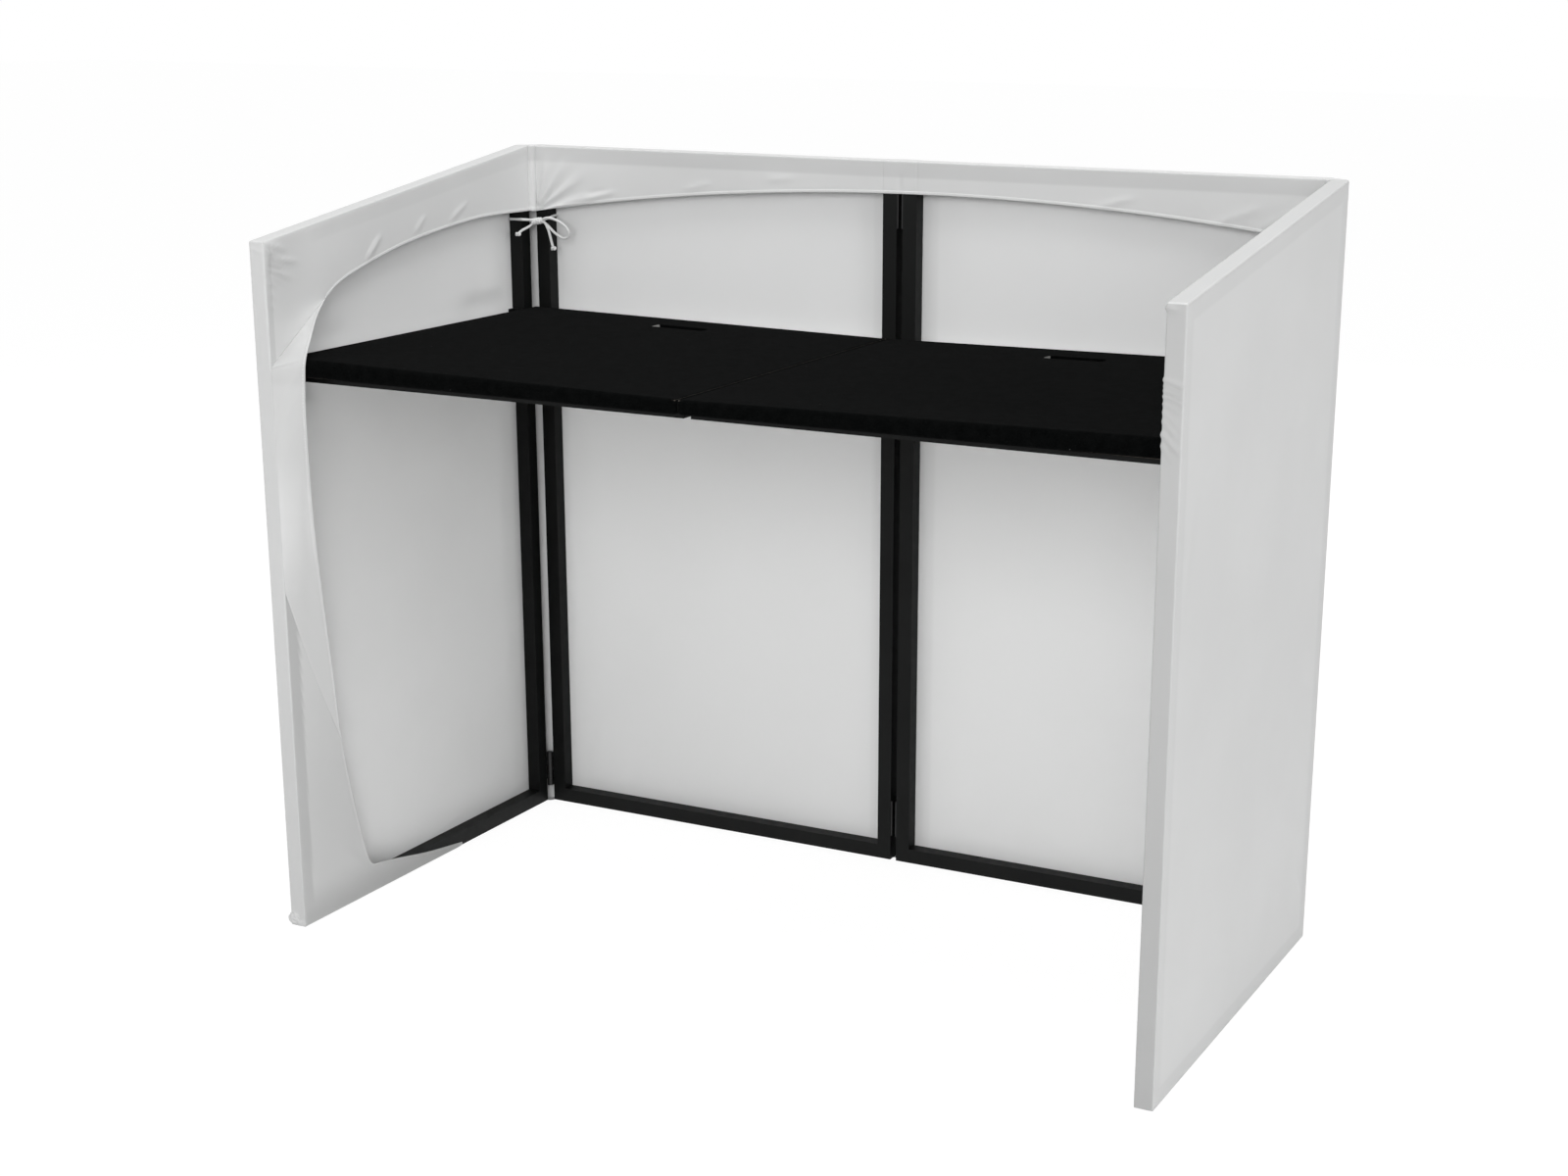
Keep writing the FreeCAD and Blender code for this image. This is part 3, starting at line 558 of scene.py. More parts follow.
def frame_window(across, up, left, right, top):
    """0 on the tubes of a frame and 1 well inside it, where the cloth is free."""
    free = min(across - left, right - across, up - cover_foot, top - up)
    return smooth(tube, tube + 0.07, free)


def tube_band(gap, width=tube):
    """1 on a tube as wide as this and 0 beside it, for a gap measured from its outer edge."""
    return smooth(width + 0.004, width - 0.001, gap)


# Painted shade on the outer cloth where a tube of the frame lies right behind it.
def on_tube(across, up, left, right, top):
    near = min(across - left, right - across, up - cover_foot, top - up)
    return faint * tube_band(near)


# %% [markdown]
# ### A column of cloth
# One function makes a column for the front panels, for the strip over the middle hinges and for the far
# corners. It is told where the column stands outside and inside, seen from above, and how low the hem is.
# The casing at the hem is a flat tube: the cloth swells on the near side, turns at the edge and comes
# back on the far side, where it is stitched.

# %% Column of a panel
hem_gaps = [casing * share for share in (1.0, 0.93, 0.78, 0.55, 0.3, 0.1)]


def casing_swell(gap, width):
    share = 1 - 2 * gap / width
    return casing_rise * math.sqrt(max(0.0, 1 - share * share))


def hem_casing(width):
    """Steps down the casing's front, round the edge and up its back: gap, swell and stitching gap."""
    gaps = [gap / casing * width for gap in hem_gaps]
    front = [(gap, casing_swell(gap, max(width, 0.00001)), gap) for gap in gaps]
    back = [(gap, -swell, no_hem) for gap, swell, _ in reversed(front)]
    return front + [(0.0, 0.0, 0.0)] + back


def panel_column(outside, inside, hem, run, push_outside, push_inside, tube_shade_at):
    """Points up the outside, over the top and down to the hem, each with its painted shade, run and gap."""
    outside, inside = Vector(outside), Vector(inside)
    inwards = inside - outside
    width = inwards.length
    inwards.normalize()
    foot, top = cover_foot, cover_top
    column = []

    def add(reach, height, painted_shade, gap=no_hem):
        place = outside + inwards * reach
        column.append((place.x, place.y, height, painted_shade, run, gap))

    # Painted shade where the cloth wraps a tube at the foot and over the top.
    for reach in (turn_in, (turn_in + foot_fold) / 2, foot_fold):
        add(reach, foot, shade_on_tube)
    for angle in quarter:
        add(foot_fold * (1 - math.sin(angle)), foot + foot_fold * (1 - math.cos(angle)), shade_on_tube)
    for share in face_shares:
        height = foot + foot_fold + share * (top - foot - fold - foot_fold)
        add(-push_outside(height), height, tube_shade_at(height))
    for angle in quarter:
        add(fold * (1 - math.cos(angle)), top - fold * (1 - math.sin(angle)), shade_on_tube)
    for share in (0.0, 0.33, 0.67, 1.0):
        add(fold + (width - 2 * fold) * share, top, shade_on_tube)
    for angle in quarter:
        add(width - fold * (1 - math.sin(angle)), top - fold * (1 - math.cos(angle)), shade_on_tube)
    drop = top - fold - hem - casing
    for step in range(30):
        height = top - fold - drop * step / 30
        # Inside, painted shade from the top rail behind the cloth, down to the rail's lower edge.
        rail = smooth(top - tube - 0.004, top - tube + 0.001, height)
        add(width + push_inside(height), height, shade_on_tube * rail)
    for gap, swell, stitch_gap in hem_casing(casing):
        add(width + push_inside(hem + gap) + swell, hem + gap, 0.0, stitch_gap)
    return column


def put_numbers(mesh, rows):
    for index, label in enumerate(cloth_numbers):
        layer = mesh.attributes.new(label, "FLOAT", "POINT")
        layer.data.foreach_set("value", [row[index] for row in rows])


def shade_evenly(piece):
    """Let the large faces lead the shading, so that flat cloth looks flat."""
    even = piece.modifiers.new("even_shading", "WEIGHTED_NORMAL")
    even.mode, even.weight = "FACE_AREA", 100


def sheet_of(name, columns, inside=front_inside_lit_knit):
    points = [point for column in columns for point in column]
    return cloth_piece(name, points, grid_faces(len(columns), len(columns[0])), inside)


def cloth_piece(name, points, faces, inside):
    """A cloth object that faces away from the booth's middle, with a thickness and its own inside finish,
    mostly a lighter copy with painted light.
    """
    mesh = bpy.data.meshes.new(name)
    mesh.from_pydata([point[:3] for point in points], [], faces)
    put_numbers(mesh, [point[3:] for point in points])
    work = bmesh.new()
    work.from_mesh(mesh)
    bmesh.ops.remove_doubles(work, verts=work.verts, dist=0.00001)
    bmesh.ops.recalc_face_normals(work, faces=work.faces)
    work.faces.ensure_lookup_table()
    outwards = sum(face.normal.dot(face.calc_center_median() - Vector((0, 0, 0.6))) * face.calc_area()
                   for face in work.faces)
    if outwards < 0:
        bmesh.ops.reverse_faces(work, faces=work.faces)
    work.to_mesh(mesh)
    work.free()
    mesh.polygons.foreach_set("use_smooth", [True] * len(mesh.polygons))
    mesh.materials.append(white_knit)
    mesh.materials.append(inside)
    piece = bpy.data.objects.new(name, mesh)
    bpy.context.scene.collection.objects.link(piece)
    solid = piece.modifiers.new("cloth_thickness", "SOLIDIFY")
    solid.thickness, solid.offset, solid.material_offset = cloth_thickness, 0.0, 1
    shade_evenly(piece)
    return piece


# %% [markdown]
# ### Front panels
# The cloth of a front panel is nearly flat on the outside. Between the tubes it lies a little way in, so
# that the two panels have room when they fold together. Inside, the hem is drawn up by the cord, and at
# the far left corner, where the bow is tied, small pleats fan out from the knot. The fan is a wave in the
# angle round the knot that dies away with the distance from it.

# %% Front panel cloth
bow_height, pleat_height, pleat_angle = 1.096, 0.0045, 20.0


def pleat_fan(x, z):
    """Height of the pleats that fan out from the bow at the far left corner."""
    away_x, away_z = x + corner_inside, z - bow_height
    distance = math.hypot(away_x, away_z)
    angle = math.degrees(math.atan2(away_x, max(away_z, 0.0001)))
    reach = smooth(0.004, 0.022, distance) * smooth(0.15, 0.045, distance)
    edge = smooth(0.0, 8.0, angle)
    crest = cover_top - 0.006
    wave = 0.5 + 0.5 * math.cos(math.radians((angle - 15.0) / pleat_angle * 360.0))
    return pleat_height * reach * edge * wave ** 1.5 * smooth(crest, crest - 0.03, z)


front_ridges = {
    "left": [(-605, 1122, -552, 1136, 5, 2.2), (-598, 1133, -566, 1139, 4, -1.1),
             (-400, 1148, -360, 1160, 6, 1.1), (-240, 1170, -200, 1176, 6, 1)],
    "right": [(340, 1150, 400, 1168, 6, 1.2), (520, 1128, 600, 1160, 7, 1.1),
              (600, 1125, 680, 1170, 8, 1.2)],
}
face_ridges = {
    "left": [(-160, 50, -100, 200, 14, 1.1), (-660, 60, -620, 200, 12, 0.9)],
    "right": [(500, 80, 660, 220, 20, 1.8), (440, 50, 580, 130, 14, 1.2),
              (60, 60, 100, 160, 12, 0.9)],
}
front_sag = 0.0022                              # how far the outer faces lie in between the tubes


def front_cloth(side):
    sign = side_signs[side]
    edge, reach = corner_post, corner_post - middle_strip
    low, high = sorted((sign * edge, sign * middle_strip))
    columns = []
    for share in even_steps(0.0, 0.18, 36) + even_steps(0.18, 1.0, 90) + [1.0]:
        x = sign * (edge - reach * share)
        inside_x = sign * corner_inside if share == 0 else x

        def push_outside(z):
            free = frame_window(x, z, low, high, cover_top)
            wave = slow_wave(x, z, 3.0 + sign, 0.0010)
            return free * (wave + ridge_height(face_ridges[side], x, z) - front_sag)

        def push_inside(z):
            loose = smooth(cover_top - 0.01, cover_top - 0.045, z)
            wave = slow_wave(x * 2, z, 7.0 + sign, 0.0009)
            ends = smooth(0.0, 0.02, share) * smooth(1.0, 0.94, share)
            push = loose * (wave + ridge_height(front_ridges[side], x, z))
            return push * ends + (pleat_fan(x, z) if side == "left" else 0.0)

        # Painted shade where a tube of the frame lies behind the cloth.
        def tube_shade_at(z):
            return on_tube(x, z, low, high, cover_top)

        columns.append(panel_column((x, front_outside), (inside_x, front_plane), front_hem(x), abs(x),
                                    push_outside, push_inside, tube_shade_at))
    piece = sheet_of(side + "_front_cloth", columns)
    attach(piece, "front_" + side)
    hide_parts(side + "_front_cover", side + "_front_cover_hem")
    return piece


front_sheets = [front_cloth(side) for side in ("left", "right")]
print("front panel cloth", [len(piece.data.vertices) for piece in front_sheets])

# %% [markdown]
# ### Strip over the middle hinges
# The two front panels are hinged back to back, and the hinge barrels stand out behind. The cloth passes
# over them in a low ridge.

# %% Middle strip
def still(height):
    return 0.0


def middle_cloth():
    columns = []
    for step in range(25):
        x = -middle_strip + 2 * middle_strip * step / 24
        rise = 0.0083 * (1 - math.sqrt((x / middle_strip) ** 2 * 0.98 + 0.02)) / (1 - math.sqrt(0.02))
        dip = 0.0006 * smooth(0.008, 0.0, abs(x))

        def push_inside(z):
            return -dip * smooth(cover_top - 0.01, cover_top - 0.04, z)

        # Painted shade over the hinge posts, none over the narrow gap between them.
        def tube_shade_at(z):
            return shade_on_tube * smooth(0.0035, 0.0065, abs(x))

        columns.append(panel_column((x, front_outside + max(rise, 0.0)), (x, front_plane), front_hem(x), x,
                                    still, push_inside, tube_shade_at))
    piece = sheet_of("middle_cloth", columns)
    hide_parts("middle_cover")
    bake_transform(piece)
    return piece


middle_sheet = middle_cloth()
print("middle strip", len(middle_sheet.data.vertices))

# %% [markdown]
# ### Far corners
# Outside, the cloth runs straight from one post to the next, across the corner. Inside, it is pushed out
# by the hinge barrels, so a narrow upright pleat stands in the corner, and at the left the cord pulls it
# together at its foot.

# %% Corner cloth
def corner_cloth(side):
    sign = side_signs[side]
    hem_front = front_hem(sign * corner_post)
    inner_path = [(wing_plane, inner_far), (0.7145, 0.011), (0.7116, 0.0109), (0.7095, 0.01),
                  (0.7083, 0.008), (0.708, 0.0052), (0.708, 0.003), (corner_inside, 0.0012)]
    columns = []
    for index, (across, back) in enumerate(inner_path):
        share = index / (len(inner_path) - 1)
        outside = (sign * (wing_outside + (corner_post - wing_outside) * share),
                   (front_line - outer_far) + (front_outside - front_line + outer_far) * share)
        inside = (sign * across, front_line - back)
        hem = corner_hem[side] + (hem_front - corner_hem[side]) * share
        columns.append(panel_column(outside, inside, hem, share * 0.016, still, still, still))
    piece = sheet_of(side + "_corner_cloth", columns)
    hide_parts(side + "_corner_cover")
    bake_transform(piece)
    return piece


corner_sheets = [corner_cloth(side) for side in ("left", "right")]
print("corner cloth", [len(piece.data.vertices) for piece in corner_sheets])

# %% [markdown]
# ### Wings
# A wing is a panel whose top slopes down towards the user. Its cloth wraps three edges: the top, the near
# post and the floor. So the sheet is laid out along the rim of the wing: from each point of the rim it
# goes round the edge, across the tube, round the next edge and over the inner face to the hem. The outer
# face is a plain grid that shares its border with the rim.

# %% Rim of a wing
def wing_top(back):
    return cover_top - wing_slope * (back - outer_far)


def wing_rim():
    """Points round the free edges of a wing: place (back, height), direction into the panel, zone, fold."""
    slant = math.atan(wing_slope)
    down = Vector((-math.sin(slant), -math.cos(slant)))
    nearwards, upwards = Vector((-1.0, 0.0)), Vector((0.0, 1.0))
    middle_z = wing_top(near_end - fold) - fold / math.cos(slant)
    top_middle = Vector((near_end - fold, middle_z))
    low_middle = Vector((near_end - foot_fold, cover_foot + foot_fold))
    last_top = top_middle - down * fold
    rim = []
    for step in range(along_steps + 1):
        back = outer_far + (last_top.x - outer_far) * step / along_steps
        rim.append((Vector((back, wing_top(back))), Vector((0, -1)) if step == 0 else down, "top", fold))
    for angle in quarter:
        into = (down * math.cos(angle) + nearwards * math.sin(angle)).normalized()
        rim.append((top_middle - into * fold, into, "top_turn", fold))
    for share in reversed(face_shares):
        place = Vector((near_end, low_middle.y + (middle_z - low_middle.y) * share))
        rim.append((place, nearwards, "near", foot_fold + (fold - foot_fold) * share))
    for angle in quarter:
        into = nearwards * math.cos(angle) + upwards * math.sin(angle)
        rim.append((low_middle - into * foot_fold, into, "low_turn", foot_fold))
    for step in range(along_steps + 1):
        back = low_middle.x + (outer_far - low_middle.x) * step / along_steps
        rim.append((Vector((back, cover_foot)), upwards, "floor", foot_fold))
    return rim


rim = wing_rim()
rim_runs = [0.0]
for before, here in zip(rim, rim[1:]):
    rim_runs.append(rim_runs[-1] + (here[0] - before[0]).length)


def rim_run(back, height):
    """Length along the rim to the rim's point nearest to a place."""
    place = Vector((back, height))
    return min(zip(rim_runs, rim), key=lambda pair: (pair[1][0] - place).length)[0]


print("rim of a wing", len(rim), "points,", round(rim_runs[-1], 3), "m")

# %% [markdown]
# The hem of a wing is described by sections. Each section pairs places on the rim with places on the
# edge of the inner cloth, and a smooth curve runs through those. On the left the table's corner pushes
# the hem forward, so that part of the cloth is a flap of its own, and the wing's cloth ends there at a
# seam: the crease from the hem down to the post, then the post's edge.

# %% Edge of the inner cloth
def through(keys, run):
    """Smooth curve through keys of (run, place), read at a run."""
    runs = [key[0] for key in keys]
    index = max(0, min(len(keys) - 2, sum(1 for value in runs if value <= run) - 1))
    share = (run - runs[index]) / max(runs[index + 1] - runs[index], 0.000001)
    a, b, c, d = (Vector(keys[min(max(index + step, 0), len(keys) - 1)][1]) for step in (-1, 0, 1, 2))
    return 0.5 * (2 * b + (c - a) * share + (2 * a - 5 * b + 4 * c - d) * share ** 2
                  + (3 * b - a - 3 * c + d) * share ** 3)


def near_keys(pairs):
    """Places on the edge of the cloth, each paired with a height on the near post's rim."""
    return [(rim_run(near_end, height), place) for height, place in pairs]


hem_turn = (0.583, 1.008)                       # where the hem leaves the wing's plane, or turns down
crease_end = (near_end - 0.0003, 0.918)         # where the crease meets the near post
flap_foot = (0.605, 0.291)
near_bare = (near_end - fold, 0.56)             # below this height the post's inner edge shows again
low_hem_end = 0.2829                            # from here to the far post the cloth only turns in
turn_run = rim_run(hem_turn[0], wing_top(hem_turn[0]))
floor_hem = near_keys([
    (0.291, flap_foot), (0.2, (0.587, 0.205)), (0.11, (0.567, 0.122)), (0.05, (0.552, 0.068))])
floor_hem += [(rim_run(back, 0.0), place) for back, place in (
    (0.69, (0.54, 0.0505)), (0.62, (0.522, 0.0465)), (0.53, (0.476, 0.0385)), (0.42, (0.39, 0.0215)),
    (0.283, (0.283, 0.0062)))]
crease = [(turn_run, hem_turn)] + near_keys([
    (1.1, (0.634, 0.975)), (1.0, (0.684, 0.942)), (0.918, crease_end)])
low_seam = near_keys([(0.56, near_bare), (0.42, (0.668, 0.425)), (0.291, flap_foot)])
right_near_hem = [(turn_run, hem_turn)] + near_keys([
    (1.1, (0.628, 0.968)), (0.93, (0.684, 0.922)), (0.888, (0.693, 0.888)), (0.845, (0.684, 0.845)),
    (0.763, (0.666, 0.763)), (0.674, (0.654, 0.674)), (0.532, (0.64, 0.532)), (0.383, (0.618, 0.383)),
    (0.291, flap_foot)])


def top_hem(side):
    keys = [(0.0, (inner_far, corner_hem[side]))]
    for place in ((0.1711, 1.0969), (0.3639, 1.0745), (0.5227, 1.0369), hem_turn):
        keys.append((rim_run(place[0], wing_top(place[0])), place))
    return keys


sections = {
    "left": [(top_hem("left"), True), (crease, False), (None, False), (low_seam, False), (floor_hem, True)],
    "right": [(top_hem("right"), True), (right_near_hem, True), (floor_hem, True)],
}
seam_runs = (rim_run(near_end, 0.918), rim_run(near_end, 0.56))


def edge_at(side, run):
    """Edge of the inner cloth for a place on the rim: the place, and whether it is the hem."""
    for keys, is_hem in sections[side]:
        low, high = (keys[0][0], keys[-1][0]) if keys else seam_runs
        if low - 0.00001 <= run <= high + 0.00001:
            return (through(keys, run) if keys else None), is_hem
    return None, False


print("sections of the hem", {side: len(parts) for side, parts in sections.items()})

# %% [markdown]
# The near post's inner edge is rounded, except on the left beside the flap, where the cloth runs straight
# on from the post's near face. The small wrinkles of the photograph are ridges again: short level ones at
# the top of the left post, slanting ones at the height of the table on the right. On the outside the left
# wing lies further in than the right one, because the two come together when the booth is folded.

# %% Wrinkles and outer face of a wing
inner_wrinkles = {
    "left": [(722, 1105, 676, 1094, 3.5, 2.8), (719, 1098.5, 703, 1088.5, 2.5, 3.4),
             (721, 1091.5, 690, 1087.5, 2.5, 2.5), (722, 1085, 652, 1073, 3, 2.8),
             (722, 1077, 680, 1067, 2.5, 2.1), (722, 1068, 664, 1050, 3, 2.3),
             (722, 1058, 684, 1046, 3, 1.1), (722, 1048, 699, 1040.5, 3.5, 1.3),
             (722, 1031, 700, 1023.5, 4, 1), (722, 1013, 704, 1006, 4, 0.8),
             (470, 1062, 440, 1090, 4.5, 2.2), (340, 1092, 318, 1112, 4.5, 1.5),
             (240, 1104, 200, 1125, 5, 1.4), (620, 100, 560, 50, 12, 1.2)],
    "right": [(722, 1090, 660, 1075, 5, 1.2), (500, 1060, 460, 1090, 6, 1.2)],
}
near_wrinkles = {
    "left": [(0, 1098, 28, 1092, 3.5, 1), (-2, 21, 12, 13, 2.8, 3), (0, 11, 20, 7, 3.2, 3.4),
             (4, 24, 17, 19, 2, 1.2), (-2, 4, 24, 3.5, 3, 2.6)],
    "right": [(30, 1101.5, 14, 1100, 3.5, 2.6), (28, 1011.5, -3, 1001.6, 2.6, 2.4),
              (28, 1003.5, -2, 994.5, 2, 1.5), (28, 997.5, -4, 988.5, 2, 1.7),
              (28, 990, -10, 978.5, 2.2, 2.1), (28, 981, 4, 970, 2, 1.3),
              (28, 972, 8, 953, 2.2, 1.1), (28, 943.5, 2.5, 917.2, 2.8, 2.6),
              (26, 959, 9, 938.9, 2.2, 1.6), (28, 930, 10, 906, 2.6, 1.5)],
}
wing_face_ridges = {
    "left": [(370, 26, 250, 46, 4, -0.3), (310, 30, 200, 60, 6, -0.3), (160, 24, 20, 53, 4, -0.3),
             (100, 30, 30, 85, 7, -0.3)],
    "right": [(75, 135, 45, 98, 5, 1), (45, 100, 12, 36, 5, 0.9), (620, 960, 700, 880, 16, 0.8),
              (660, 840, 700, 660, 12, 0.8)],
}
gathers = {"left": (0.7165, 0.012, -0.0002), "right": (0.715, 0.010, 0.0008)}   # at the near feet
wing_sag = {"left": 0.0034, "right": 0.0012}    # how far the outer faces lie in between the tubes
wing_inset = {"left": 0.0005, "right": 0.0}     # and how far all of the face lies in
wing_seed = {"left": 11.0, "right": 15.0}


def wing_face_push(side, back, height):
    """How far the outer face stands out; beside the table's brackets it stays level with the tubes."""
    free = frame_window(back, height, outer_far, near_end, wing_top(back))
    middle, level, rise = gathers[side]
    bunch = rise * math.exp(-((back - middle) / 0.012) ** 2 - ((height - level) / 0.009) ** 2)
    near_edge, low_edge = near_end - fold, cover_foot + foot_fold
    ends = smooth(outer_far, outer_far + 0.01, back) * smooth(near_edge, near_edge - 0.004, back)
    ends *= smooth(low_edge, low_edge + 0.006, height)
    wave = slow_wave(back, height, wing_seed[side], 0.0018)
    beside_post = max(smooth(0.22, 0.15, back), smooth(0.48, 0.55, back))
    at_bracket = smooth(0.84, 0.875, height) * smooth(0.975, 0.94, height) * beside_post
    return free * (1 - at_bracket) * (wave - wing_sag[side]) + ends * (
        ridge_height(wing_face_ridges[side], back, height) + bunch - wing_inset[side])


def edge_round(side, place, zone, radius):
    """Depth of the rounding at the inner edge: shallow beside the left flap, where the cloth runs on."""
    if side == "right" or zone != "near":
        return radius
    beside = smooth(0.56, 0.62, place.y) * smooth(0.9185, 0.912, place.y)
    return radius + (0.0003 - radius) * beside


def edge_painted_shade(side, zone, height):
    """Painted shade on the cloth across an edge of a wing: darkest on the right near post, which is turned
    from the light.
    """
    if zone == "near" and side == "right":
        return 0.88 + 0.12 * smooth(0.75, 0.2, height)
    if zone == "near":
        return 0.38 + 0.12 * smooth(0.55, 0.3, height)
    return 0.55 if side == "right" and zone == "top" else shade_on_tube


def inner_painted_shade(back, height):
    """Painted shade on a wing's inner cloth: darker on the near post, under the top rail and towards the
    floor.
    """
    near_gap, top_gap = near_end - back, wing_top(back) - height
    post = 0.6 * tube_band(near_gap, tube - 0.012 * smooth(0.8, 0.9, height))
    beside = 0.36 * smooth(0.14, 0.03, near_gap) * smooth(0.85, 0.95, height)
    low = 0.5 * smooth(0.075, 0.004, height) + 0.25 * smooth(0.5, 0.15, height)
    return max(post, beside, 0.1 * tube_band(top_gap), low)


print("wrinkles", {side: len(inner_wrinkles[side]) + len(near_wrinkles[side]) for side in side_signs})

# %% Wing cloth
def rim_column(side, index):
    """Points from the outer face round the rim and over the inner face to the hem."""
    place, into, zone, radius = rim[index]
    run, sign = rim_runs[index], side_signs[side]
    column = []

    def add(spot, x, painted_shade=shade_on_tube, gap=no_hem):
        column.append((sign * x, front_line - spot.x, spot.y, painted_shade, run, gap))

    edge, is_hem = edge_at(side, run)
    inner, bulge = wing_plane, 0.0
    if zone == "floor":
        inner = wing_plane + (wing_outside - turn_in - wing_plane) * smooth(0.30, 0.24, place.x)
    # Painted shade across the edge: on a near post it rises from faint on the outer face, round the fold, to
    # the edge's own shade; elsewhere it is the tube's shade.
    across_shade = edge_painted_shade(side, zone, place.y)
    add(place + into * radius, wing_outside, faint if zone == "near" else shade_on_tube)
    for step, angle in enumerate(quarter):
        tone = faint + (across_shade - faint) * (step + 1) / 4 if zone == "near" else shade_on_tube
        add(place + into * (radius * (1 - math.sin(angle))),
            wing_outside - radius * (1 - math.cos(angle)), tone)
    width = wing_outside - inner
    depth = edge_round(side, place, zone, radius)
    for step in range(9):
        x = wing_outside - radius - (width - 2 * radius) * step / 8
        bulge = ridge_height(near_wrinkles[side], wing_outside - x, place.y) if zone == "near" else 0.0
        add(place - into * bulge, x, across_shade)
    for angle in quarter:
        add(place + into * (depth * (1 - math.cos(angle)) - bulge * math.cos(angle)),
            inner + radius * (1 - math.sin(angle)) - bulge * math.sin(angle), across_shade)
    boundary = place + into * depth
    if index == 0:
        for number, point in enumerate(column):
            share = min(max((wing_outside - sign * point[0]) / (wing_outside - wing_plane), 0.0), 1.0)
            y = front_line - outer_far - (inner_far - outer_far) * share
            column[number] = (point[0], y, *point[2:])
        boundary.x = inner_far
    if zone == "floor" and place.x < low_hem_end:
        edge, is_hem = None, False
    if edge is None:
        edge = boundary.copy()
    across = edge - boundary
    length = across.length
    width_here = min(casing, 0.6 * length) if is_hem else 0.0
    fade = smooth(turn_run, turn_run - 0.03, run) if side == "left" and run <= turn_run else 1.0
    swell_share = fade * width_here / casing if is_hem else 0.0
    along = across.normalized() if length > 0.0001 else Vector((0, 0))

    def inner_push(spot):
        near_gap = near_end - fold - spot.x
        free = smooth(0.0, 0.018, min(near_gap, wing_top(spot.x) - fold - spot.y))
        wave = slow_wave(spot.x * 2, spot.y * 2, 21.0, 0.0007) * smooth(0.004, 0.03, spot.y)
        wrinkles = ridge_height(inner_wrinkles[side], spot.x, spot.y) * smooth(0.0, 0.006, near_gap)
        return free * wave + wrinkles + bulge * smooth(0.012, 0.0, (spot - boundary).length)

    def add_inner(spot, share, lift=0.0, gap=no_hem):
        calm = 1.0 if is_hem else smooth(1.0, 0.75, share)
        push = inner_push(spot) * calm if zone != "floor" or is_hem else 0.0
        add(spot, inner - push - lift, inner_painted_shade(*spot) if inner == wing_plane else shade_on_tube, gap)

    usable = max(length - width_here, 0.0)
    for step in range(1, 31):
        add_inner(boundary + along * (usable * step / 31), step / 31)
    for gap, swell, stitch_gap in hem_casing(width_here):
        add_inner(edge - along * gap, 1.0, swell * swell_share, stitch_gap if is_hem else no_hem)
    return column, edge


def wing_cloth(side):
    sign = side_signs[side]
    columns, edges = zip(*(rim_column(side, index) for index in range(len(rim))))
    points = [point for column in columns for point in column]
    faces = grid_faces(len(columns), len(columns[0]))
    tops = [place + into * radius for place, into, zone, radius in rim if zone == "top"]
    lows = [place + into * radius for place, into, zone, radius in rim if zone == "floor"][::-1]
    tops[0].x = lows[0].x = outer_far
    offset = len(points)
    for low, high in zip(lows, tops):
        for share in face_shares:
            spot = low.lerp(high, share)
            # Painted shade where a tube lies right behind the outer face.
            window = on_tube(spot.x, spot.y, outer_far, near_end, wing_top(spot.x))
            points.append((sign * (wing_outside + wing_face_push(side, spot.x, spot.y)),
                           front_line - spot.x, spot.y, window, 0.0, no_hem))
    faces += grid_faces(len(tops), len(face_shares), offset)
    piece = cloth_piece(side + "_wing_cloth", points, faces, wing_inside_lit_knit)
    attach(piece, side + "_wing")
    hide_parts(side + "_wing_cover", side + "_wing_cover_hem")
    return piece, edges


left_wing_sheet, left_edges = wing_cloth("left")
right_wing_sheet = wing_cloth("right")[0]
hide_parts("right_near_flap")
print("wing cloth", len(left_wing_sheet.data.vertices), len(right_wing_sheet.data.vertices))

# %% [markdown]
# At the foot of the left near post some spare cloth is twisted into a small bunch. It is made as a ball
# that is pinched along slanting creases.

# %% Bunch at the left foot
def foot_bunch():
    middle = Vector((0.0063 - wing_outside, front_line - near_end, 0.0122))
    reach = (0.0118, 0.0068, 0.0112)
    rings, around, points = 28, 56, []
    for ring in range(rings + 1):
        tilt = math.pi * ring / rings
        for step in range(around):
            turn = 2 * math.pi * step / around
            level = math.sin(tilt)
            spot = Vector((level * math.cos(turn), level * math.sin(turn), math.cos(tilt)))
            across = 0.5 * spot.x + 0.9 * spot.z + 0.4 * spot.x * spot.z
            pinch = 1 - 0.24 * (0.5 + 0.5 * math.cos(8.0 * across + 0.6)) ** 3
            points.append(middle + Vector([part * size * pinch for part, size in zip(spot, reach)]))
    piece = new_piece("left_foot_bunch", points, grid_faces(rings + 1, around, closed=True), white_knit)
    # The whole bunch carries the same painted shade.
    put_numbers(piece.data, [(0.35, 0.0, no_hem)] * len(piece.data.vertices))
    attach(piece, "left_wing")
    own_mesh(piece)
    return piece


bunch = foot_bunch()
print("bunch", len(bunch.data.vertices), "points")

# %% [markdown]
# ### The flap at the table's left corner
# The table's front corner stands in the way of the hem, so the cloth comes out of the wing's plane and
# passes in front of the corner. Above the table it makes a bright three-cornered fold, below it runs from
# the near face of the post to the hem in one soft curve. The flap starts at exactly the same points where
# the wing's cloth ends.

